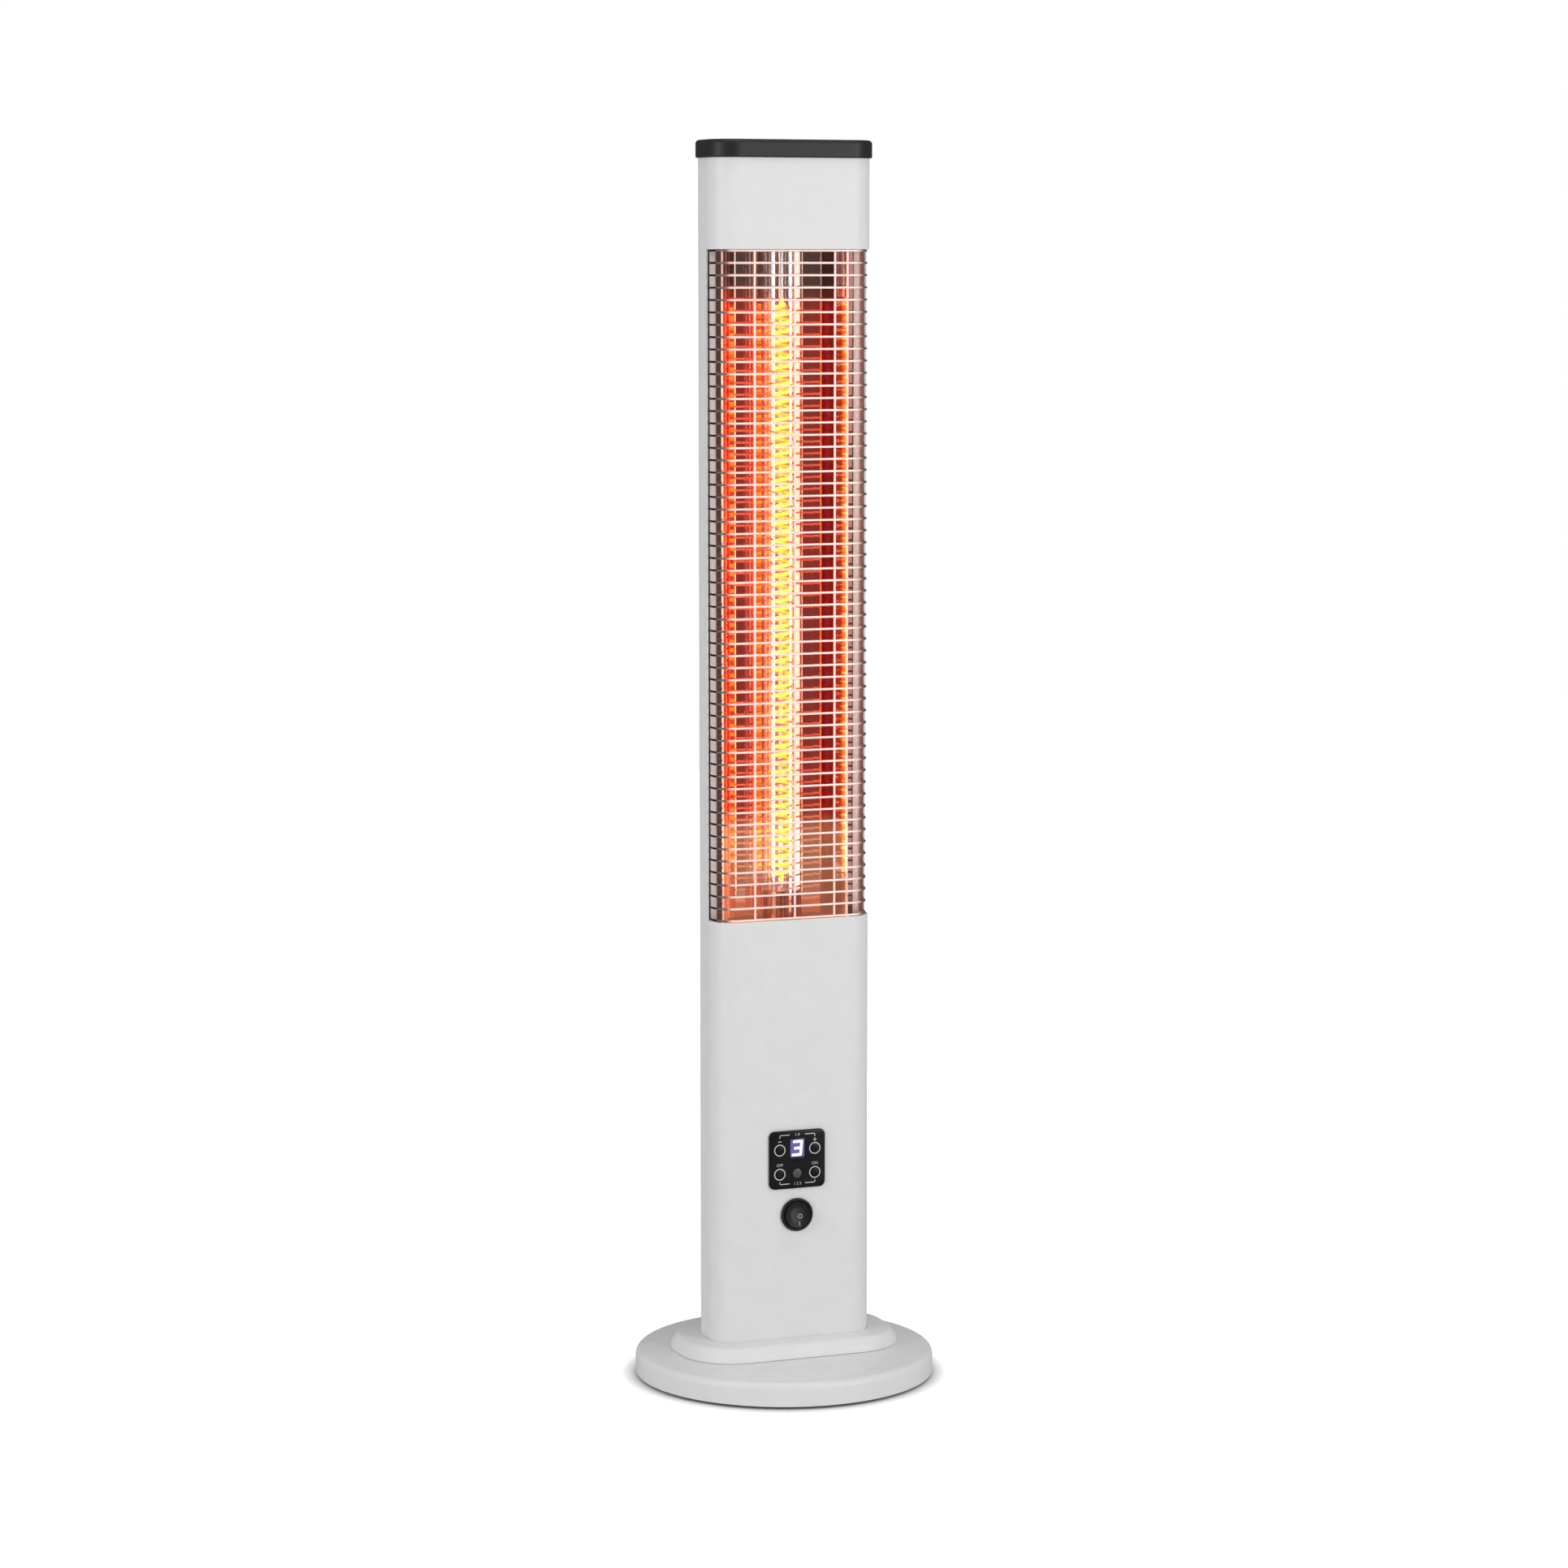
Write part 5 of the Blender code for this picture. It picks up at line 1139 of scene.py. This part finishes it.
class HEATER_OT_guard(bpy.types.Operator):
    """Wire guard that wraps round both front corners"""

    bl_idname = "heater.guard"
    bl_label = "Wire guard"

    def execute(self, context):
        sizes = context.scene.heater_sizes
        low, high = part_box("wire_guard")
        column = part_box("housing")[1]
        inset = sizes.wire + GAP
        half_x = column.x - sizes.sheet - inset
        front = -column.y + sizes.sheet + inset
        rod_y = sizes.flange_front - GAP - sizes.rod
        radius = sizes.corner - sizes.sheet - inset
        bend = np.linspace(0, math.pi / 2, 13)
        corner = np.array([-half_x + radius, front + radius])
        left = corner - radius * np.stack([np.cos(bend), np.sin(bend)], axis=-1)
        right = left[::-1] * (-1, 1)
        level = np.concatenate([[(-half_x, rod_y)], left, right, [(half_x, rod_y)]])
        margin = sizes.wire + 0.0002
        heights = np.linspace(low.z - GAP + margin, high.z + GAP - margin, sizes.wire_rows)
        up = np.array([[0.0, 0.0, 1.0]])
        wires = []
        for height in heights:
            path = np.column_stack([level, np.full(len(level), height)])
            wires.append(tube(path, np.repeat(up, len(path), axis=0), sizes.wire, 8))
        rods = [upright_bar(side * half_x, rod_y, low.z, high.z, sizes.rod) for side in (-1, 1)]
        weld = 0.0003
        stay_y = front + 2 * sizes.wire - weld
        places = (-sizes.stay_pitch, 0.0, sizes.stay_pitch)
        stays = [upright_bar(x, stay_y, low.z, high.z, sizes.wire) for x in places]
        make_piece("guard_wires", joined(*wires, *rods, *stays), "guard_chrome", ("wire_guard",),
                   angle=60)
        return {"FINISHED"}


class HEATER_OT_mirror(bpy.types.Operator):
    """Folded mirror behind the lamp and the plates that close it above and below"""

    bl_idname = "heater.mirror"
    bl_label = "Mirror"

    def execute(self, context):
        sizes = context.scene.heater_sizes
        low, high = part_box("reflector")
        sheet = 0.0005
        flange = sizes.flange_front - GAP - sheet
        lip = high.x - 0.0049
        lip_half = 0.0009
        lip_rise = 0.0012
        half = [(high.x, flange), (lip + lip_half, flange), (lip, flange - lip_rise), (lip - lip_half, flange)]
        half += [(lip - sizes.flank_run, sizes.flank_depth), (sizes.back_half, high.y - sheet)]
        radii = (0, 0.0004, 0.0005, 0.0006, 0.004, 0.004)
        right = np.array(half)
        front = np.concatenate([right * (-1, 1), right[::-1]])
        line = filleted(front, radii + radii[::-1], 6)
        ahead = np.gradient(line, axis=0)
        ahead /= np.linalg.norm(ahead, axis=1, keepdims=True)
        back = line + np.stack([-ahead[:, 1], ahead[:, 0]], axis=-1) * sheet
        loop = np.concatenate([line, back[::-1]])
        make_piece("folded_mirror", prism(loop, low.z, high.z), "mirror", ("reflector",),
                   angle=50)
        dress("mirror", "reflector_end_lower", "reflector_end_upper")
        dress("zinc_sheet", "lamp_shelf_lower", "lamp_shelf_upper")
        dress("grained_black", "thermal_cutout")
        return {"FINISHED"}


class HEATER_OT_lamp(bpy.types.Operator):
    """Quartz tube with the wound emitter, its leads and end caps"""

    bl_idname = "heater.lamp"
    bl_label = "Lamp"

    def execute(self, context):
        sizes = context.scene.heater_sizes
        low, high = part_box("quartz_tube")
        middle = (low + high) / 2
        axis = (middle.x, middle.y, 0)
        outer = (high.x - low.x) / 2
        wall = 0.0015
        inner = outer - wall
        corners = [(inner, low.z), (outer, low.z), (outer, high.z), (inner, high.z)]
        glass = turned(corners, (0.0006,) * 4, 4, 96, axis, closed=True)
        make_piece("quartz_glass", glass, "clear_quartz", ("quartz_tube",))
        self.emitter(sizes, axis)
        for name in ("lower", "upper"):
            self.end_cap(name, axis)
            lead_low, lead_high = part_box(f"lamp_lead_{name}")
            lead_radius = 0.0015
            lead = upright_bar(middle.x, middle.y, lead_low.z, lead_high.z, lead_radius, 20)
            make_piece(f"lead_{name}", lead, "lead_wire", (f"lamp_lead_{name}",))
        return {"FINISHED"}

    def emitter(self, sizes, axis):
        """Cord wound on a circle that opens from the axis and closes on it again.

        Its radius is winding * sin(ease * 90 degrees), with ease rising over the
        first part of a turn, and its height grows evenly with the turn.
        """
        low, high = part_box("heating_coil")
        tail = 0.004
        per_turn = 26
        turn = np.linspace(0, sizes.turns, sizes.turns * per_turn + 1)
        ease = np.clip(np.minimum(turn, sizes.turns - turn) / ROUND_START, 0, 1)
        radius = sizes.winding * np.sin(ease * math.pi / 2)
        angle = 2 * math.pi * turn
        height = low.z + tail + (high.z - low.z - 2 * tail) * turn / sizes.turns
        path = np.column_stack([radius * np.cos(angle), radius * np.sin(angle), height])
        path = np.concatenate([[(0, 0, low.z)], path, [(0, 0, high.z)]])
        angle = np.concatenate([angle[:1], angle, angle[-1:]])
        across = np.column_stack([np.cos(angle), np.sin(angle), np.zeros(len(angle))])
        sides = 10
        shape = placed(tube(path, across, sizes.cord, sides), axis)
        run = np.concatenate([[0], np.cumsum(np.linalg.norm(np.diff(path, axis=0), axis=1))])
        values = {
            "along": np.repeat(run, sides),
            "around": np.tile(np.arange(sides) / sides * 2 * math.pi, len(path)),
        }
        make_piece("wound_emitter", shape, "glow", ("heating_coil",),
                   angle=80, values=values)

    def end_cap(self, name, axis):
        """Metal cap with a neck, a shoulder and a rolled rim."""
        low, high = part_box(f"lamp_cap_{name}")
        radius = (high.x - low.x) / 2
        way = 1 if name == "lower" else -1
        far, tip = (low.z, high.z) if way > 0 else (high.z, low.z)
        neck = 0.0055
        neck_length = 0.008
        rim = 0.0152
        rim_height = 0.003
        bore = 0.004
        seat = far + way * neck_length
        stop = tip - way * rim_height
        corners = [(neck - 0.001, far), (neck, far), (neck, seat), (radius, seat), (radius, stop)]
        corners += [(rim, stop), (rim, tip), (bore, tip)]
        shape = turned(corners, (0, 0.0005, 0.001, 0.0025, 0.0012, 0.0003, 0.0006, 0), 5, 72, axis)
        make_piece(f"end_cap_{name}", shape, "lamp_steel", (f"lamp_cap_{name}",))


class HEATER_OT_controls(bpy.types.Operator):
    """Control plate with its keys, display, infrared lens and printed marks"""

    bl_idname = "heater.controls"
    bl_label = "Controls"

    def execute(self, context):
        sizes = context.scene.heater_sizes
        low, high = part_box("control_plate")
        plate_mid = (low + high) / 2
        front = low.y
        back = front + PLATE_DEPTH
        outer = track(high.x, (high.z - low.z) / 2, 0.005, steps=10)[0] + (0, plate_mid.z)
        keys = {node: self.round_place(node) for node in ("key_timer", "key_mode", "key_off", "key_heat")}
        lens_mid, lens_radius = self.round_place("infrared_window")
        window_low, window_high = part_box("display_window")
        window_mid = (window_low + window_high) / 2
        half_wide = (window_high.x - window_low.x) / 2
        half_high = (window_high.z - window_low.z) / 2
        key_face = 0.0039
        holes = [circle(key_face + GAP, 40, (mid.x, mid.z)) for mid, _ in keys.values()]
        holes.append(circle(lens_radius + GAP, 40, (lens_mid.x, lens_mid.z)))
        holes.append(track(half_wide + GAP, half_high + GAP, 0.0013, steps=5)[0] + (0, window_mid.z))
        face = pierced(outer, holes, front, back, 0.0004)
        skirt_inset = 0.00215
        skirt_x = high.x - skirt_inset
        skirt_z = (high.z - low.z) / 2 - skirt_inset
        rings = track(skirt_x, skirt_z, 0.002, (0.0, -0.0014), 5) + (0, plate_mid.z)
        loops = [(rings[0], back), (rings[0], high.y), (rings[1], high.y), (rings[1], back)]
        rows = [np.column_stack([ring[:, 0], np.full(len(ring), y), ring[:, 1]]) for ring, y in loops]
        plate = joined(face, skin(np.stack(rows), wrap_rows=True))
        make_piece("plate", plate, "gloss_black", ("control_plate",))
        for node, (mid, _) in keys.items():
            self.key(node, mid, front, key_face)
        core = 0.001
        corners = [(core, 0.0), (lens_radius, 0.0), (lens_radius, -PLATE_DEPTH), (core, -PLATE_DEPTH)]
        lens = turned(corners, (0, 0.0003, 0, 0), 3, 40, (lens_mid.x, front, lens_mid.z), TO_FRONT)
        make_piece("lens", lens, "sensor_lens", ("infrared_window",))
        window_loop = track(half_wide, half_high, 0.001, steps=5)[0] + (0, window_mid.z)
        window = pierced(window_loop, [], front, back, 0.0002)
        make_piece("window_pane", window, "display", ("display_window",))
        dress("board", "control_board", "power_board")
        dress("grained_black", "display_module", "tilt_switch")
        self.printing(sizes, keys, window_mid, front)
        return {"FINISHED"}

    def round_place(self, node):
        """Middle and radius of a round node."""
        low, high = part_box(node)
        return (low + high) / 2, (high.x - low.x) / 2

    def key(self, node, mid, front, face):
        """Key with a soft edge, a holding flange and a stem."""
        core = 0.0005
        stem = 0.0015
        flange = 0.0051
        depth = -PLATE_DEPTH - GAP
        seat = depth - 0.0008
        tip = -(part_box(node)[1].y - front)
        corners = [(core, 0), (face, 0), (face, depth), (flange, depth), (flange, seat)]
        corners += [(stem, seat), (stem, tip), (core, tip)]
        shape = turned(corners, (0, 0.0003, 0, 0, 0, 0, 0, 0), 3, 40, (mid.x, front, mid.z), TO_FRONT)
        make_piece(f"{node}_cap", shape, "gloss_black", (node,),
                   body=f"{node}_body")

    def printing(self, sizes, keys, window_mid, front):
        """Rings, brackets, signs and numbers printed on the plate, and the lit digit."""
        line = sizes.print_line
        lift = 0.00003
        inks = []
        for mid, _ in keys.values():
            outer = circle(sizes.key_ring, 56, (mid.x, mid.z))
            inner = circle(sizes.key_ring - line, 56, (mid.x, mid.z))
            inks.append(pierced(outer, [inner], front - lift, front))
        upper = keys["key_timer"][0]
        lower = keys["key_off"][0]
        top = upper.z + 0.0125
        bottom = lower.z - 0.0085
        x = abs(upper.x)
        inner_end = x * 0.46
        thin = line * 0.85
        strokes = []
        for side in (-1, 1):
            for level, tick in ((top, top - 0.0022), (bottom, bottom + 0.0018)):
                strokes.append((side * inner_end, level, side * x, level))
                strokes.append((side * x, level, side * x, tick))
        sign = upper.z + 0.0073
        arm = 0.0012
        strokes.append((-x - arm, sign, -x + arm, sign))
        strokes.append((x - arm, sign, x + arm, sign))
        strokes.append((x, sign - arm, x, sign + arm))
        inks += [self.bar(*stroke, thin, front, lift) for stroke in strokes]
        make_piece("plate_print", joined(*inks), "print")
        letter = 0.0034
        half_letter = 0.0012
        over_keys = lower.z + 0.0066
        words = (("OFF", -x, over_keys), ("ON", x, over_keys))
        words += (("1-9", 0.0, top - half_letter), ("1 2 3", 0.0, bottom - half_letter))
        for number, (word, at_x, at_z) in enumerate(words, 1):
            self.lettering(f"plate_word_{number}", word, at_x, at_z, letter, front - lift)
        self.digit(sizes, window_mid, front)

    def bar(self, x1, z1, x2, z2, width, front, lift):
        """Straight printed line between two points, with square ends."""
        half = width / 2
        low_x, high_x = sorted((x1, x2))
        low_z, high_z = sorted((z1, z2))
        loop = [(low_x - half, low_z - half), (high_x + half, low_z - half)]
        loop += [(high_x + half, high_z + half), (low_x - half, high_z + half)]
        return pierced(np.array(loop), [], front - lift, front)

    def lettering(self, name, word, x, z, size, front):
        """Plain letters or numbers, made a mesh and laid on the plate."""
        curve = bpy.data.curves.new(name, "FONT")
        curve.body = word
        curve.size = size
        curve.align_x = "CENTER"
        curve.extrude = 0.00001
        curve.resolution_u = 3
        text = bpy.data.objects.new(name, curve)
        bpy.context.scene.collection.objects.link(text)
        bpy.context.view_layer.update()
        mesh = bpy.data.meshes.new_from_object(text)
        bpy.data.objects.remove(text)
        mesh.transform(Matrix.Translation((x, front, z)) @ Matrix.Rotation(math.pi / 2, 4, "X"))
        mesh.materials.clear()
        mesh.materials.append(finish("print"))
        obj = bpy.data.objects.new(name, mesh)
        bpy.context.scene.collection.objects.link(obj)
        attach(obj, BODY)

    def digit(self, sizes, middle, front):
        """Seven-segment number three, lit from behind."""
        half_wide = 0.0034
        half_high = 0.0056
        stroke = 0.0024
        slant = 0.10
        hair = 0.00001
        lift = 0.00004
        layer = 0.000004
        edge = stroke / 2
        bars = [(-half_wide, half_high, half_wide, half_high), (-half_wide * 0.55, 0, half_wide, 0)]
        bars += [(-half_wide, -half_high, half_wide, -half_high)]
        bars += [(half_wide, 0, half_wide, half_high), (half_wide, -half_high, half_wide, 0)]
        shapes = []
        for number, (x1, z1, x2, z2) in enumerate(bars):
            half_x, half_z = (x2 - x1) / 2 + edge, (z2 - z1) / 2 + edge
            loop = track(half_x, half_z, edge * 0.9, steps=5, lead=hair)[0]
            loop = loop + ((x1 + x2) / 2, (z1 + z2) / 2)
            loop[:, 0] += loop[:, 1] * slant
            face = front - lift - number * layer
            loop = loop + (middle.x, middle.z + sizes.digit_rise)
            shapes.append(pierced(loop, [], face, front - hair))
        make_piece("lit_digit", joined(*shapes), "digit")


class HEATER_OT_switch(bpy.types.Operator):
    """Round rocker switch: bezel, rocker and its marks"""

    bl_idname = "heater.switch"
    bl_label = "Switch"

    def execute(self, context):
        low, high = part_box("switch_bezel")
        middle = (low + high) / 2
        radius = (high.x - low.x) / 2
        proud = 0.0023
        back = low.y + proud
        bore = 0.0116
        barrel = 0.0127
        end = -(high.y - back)
        corners = [(bore, end), (bore, proud), (radius, proud), (radius, 0), (barrel, 0), (barrel, end)]
        place = (middle.x, back, middle.z)
        shape = turned(corners, (0, 0.0007, 0.0009, 0.0002, 0, 0), 5, 72, place, TO_FRONT, closed=True)
        make_piece("bezel", shape, "grained_black", ("switch_bezel",))
        dress("grained_black", "switch_body")
        self.rocker()
        return {"FINISHED"}

    def rocker(self):
        """Part of a ball with a dished face and two pins, pressed in at its upper half, and its two marks."""
        joint = next(j for j in frame["joints"] if j["name"] == "rocker_tilt")
        pivot = joint["pos_m"]
        ball = 0.0113
        rim = 0.0105
        front = 0.0039
        ball_back = -0.0042
        core = 0.001
        shoulder = np.linspace(math.asin(ball_back / ball), math.acos(rim / ball), 12)
        side = np.column_stack([ball * np.cos(shoulder), ball * np.sin(shoulder)])
        face = [(rim - 0.0004, front + 0.00018), (rim - 0.0009, front)]
        face += [(0.0063, front - 0.00096), (core, front - 0.0012)]
        soft = filleted(np.concatenate([side[-1:], face]), (0, 0.0003, 0.0006, 0.012, 0), 6)[1:]
        profile = np.concatenate([[(core, ball_back)], side, soft])
        tilt = Matrix.Rotation(math.radians(-10), 3, "X")
        body = placed(lathe(profile, 72), (0, 0, 0), TO_FRONT)
        pin_radius = 0.0012
        pin_half = 0.0121
        pin = lathe(np.array([(pin_radius, -pin_half), (pin_radius, pin_half)]), 16)
        pins = placed(pin, (0, 0, 0), Matrix.Rotation(math.pi / 2, 3, "Y"))
        shape = placed(joined(body, pins), pivot, tilt)
        make_piece("rocker", shape, "grained_black", ("switch_rocker",),
                   body="rocker")
        dish = soft[::-1]
        spot = (0.0018, -0.0015)
        ink = 0.00002
        marks = [pierced(circle(0.0020, 36, spot), [circle(0.0013, 36, spot)], 0, ink)]
        loop = track(0.0004, 0.0018, 0.0003, steps=3, lead=0.00001)[0] + (0.0008, -0.0078)
        marks.append(pierced(loop, [], 0, ink))
        points, faces = joined(*marks)
        height = np.interp(np.hypot(points[:, 0], points[:, 2]), dish[:, 0], dish[:, 1])
        points = points.copy()
        points[:, 1] -= height + 0.00004
        make_piece("rocker_marks", placed((points, faces), pivot, tilt), "mark_print",
                   body="rocker")


class HEATER_OT_rear(bpy.types.Operator):
    """Service cover with its screws, and the cable gland"""

    bl_idname = "heater.rear"
    bl_label = "Rear"

    def execute(self, context):
        low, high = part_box("rear_cover")
        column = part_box("housing")[1]
        front = column.y + GAP
        back = high.y
        middle = (low + high) / 2
        outer = track(high.x, (high.z - low.z) / 2, 0.006, steps=8)[0] + (0, middle.z)
        screws = [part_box(f"rear_screw_{number}") for number in range(1, 5)]
        places = [(a + b) / 2 for a, b in screws]
        screw_hole = 0.0017
        holes = [circle(screw_hole, 24, (place.x, place.z)) for place in places]
        plate = pierced(outer, holes, back, front, 0.0004)
        make_piece("service_cover", plate, "powder_coat", ("rear_cover",))
        for number, (place, (_, far)) in enumerate(zip(places, screws), 1):
            head = placed(self.screw(), (place.x, far.y, place.z), TO_REAR)
            make_piece(f"service_screw_{number}", head, "zinc_sheet", (f"rear_screw_{number}",),
                       angle=50)
        self.gland()
        return {"FINISHED"}

    def screw(self):
        """Domed head with a cross recess over its shank.

        Height is a dome less the recess depth where the lesser of |x| and |y| is
        under the slot's half width and the radius is under the slot's reach.
        """
        head, shank, tall = 0.0028, 0.0014, 0.0016
        ring = np.linspace(1.0, 0.02, 22)
        sides = 48
        plan = circle(1.0, sides)
        spread = np.concatenate([[shank, shank, head], head * ring])
        x = spread[:, None] * plan[:, 0]
        y = spread[:, None] * plan[:, 1]
        dome = -tall * 0.55 * (np.hypot(x, y) / head) ** 3
        slot = np.clip((0.00042 - np.minimum(abs(x), abs(y))) / 0.00012, 0, 1)
        reach = np.clip((0.0017 - np.hypot(x, y)) / 0.0003, 0, 1)
        height = dome - 0.0009 * slot * reach
        height[0] = -0.006
        height[1] = -tall
        height[2] = -tall
        return skin(np.stack([x, y, height], axis=-1))

    def gland(self):
        """Bushing with a soft flange, and its nut inside the column."""
        low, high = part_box("cable_gland")
        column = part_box("housing")[1]
        middle = (low + high) / 2
        out = high.y - column.y
        far = low.y - column.y
        bore = 0.0036
        barrel = 0.006
        flange = 0.008
        corners = [(bore, far), (bore, out), (flange, out), (flange, GAP), (barrel, GAP), (barrel, far)]
        place = (middle.x, column.y, middle.z)
        shape = turned(corners, (0, 0.0008, 0.0010, 0, 0, 0), 5, 48, place, TO_REAR, closed=True)
        make_piece("gland", shape, "grained_black", ("cable_gland",))
        dress("grained_black", "gland_nut")


MAKERS = (
    HEATER_OT_stage,
    HEATER_OT_column,
    HEATER_OT_foot,
    HEATER_OT_guard,
    HEATER_OT_mirror,
    HEATER_OT_lamp,
    HEATER_OT_controls,
    HEATER_OT_switch,
    HEATER_OT_rear,
)


class HEATER_PT_pieces(bpy.types.Panel):
    """Lists the heater's pieces and their sizes"""

    bl_label = "Infrared heater"
    bl_idname = "HEATER_PT_pieces"
    bl_space_type = "VIEW_3D"
    bl_region_type = "UI"
    bl_category = "Heater"

    def draw(self, context):
        layout = self.layout
        for maker in MAKERS:
            layout.operator(maker.bl_idname)
        for group in (context.scene.heater_sizes, context.scene.heater_colours, context.scene.heater_stage):
            box = layout.box()
            for key in group.__annotations__:
                box.prop(group, key)


CLASSES = (HeaterSizes, HeaterColours, HeaterStage, *MAKERS, HEATER_PT_pieces)


def register():
    """Register the classes and hang their sizes on the scene."""
    for cls in CLASSES:
        bpy.utils.register_class(cls)
    bpy.types.Scene.heater_sizes = bpy.props.PointerProperty(type=HeaterSizes)
    bpy.types.Scene.heater_colours = bpy.props.PointerProperty(type=HeaterColours)
    bpy.types.Scene.heater_stage = bpy.props.PointerProperty(type=HeaterStage)


def unregister():
    """Take everything back that register added."""
    del bpy.types.Scene.heater_stage
    del bpy.types.Scene.heater_colours
    del bpy.types.Scene.heater_sizes
    for cls in reversed(CLASSES):
        bpy.utils.unregister_class(cls)


def main():
    """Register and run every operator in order."""
    register()
    bpy.ops.heater.stage()
    bpy.ops.heater.column()
    bpy.ops.heater.foot()
    bpy.ops.heater.guard()
    bpy.ops.heater.mirror()
    bpy.ops.heater.lamp()
    bpy.ops.heater.controls()
    bpy.ops.heater.switch()
    bpy.ops.heater.rear()


if __name__ == "__main__":
    main()
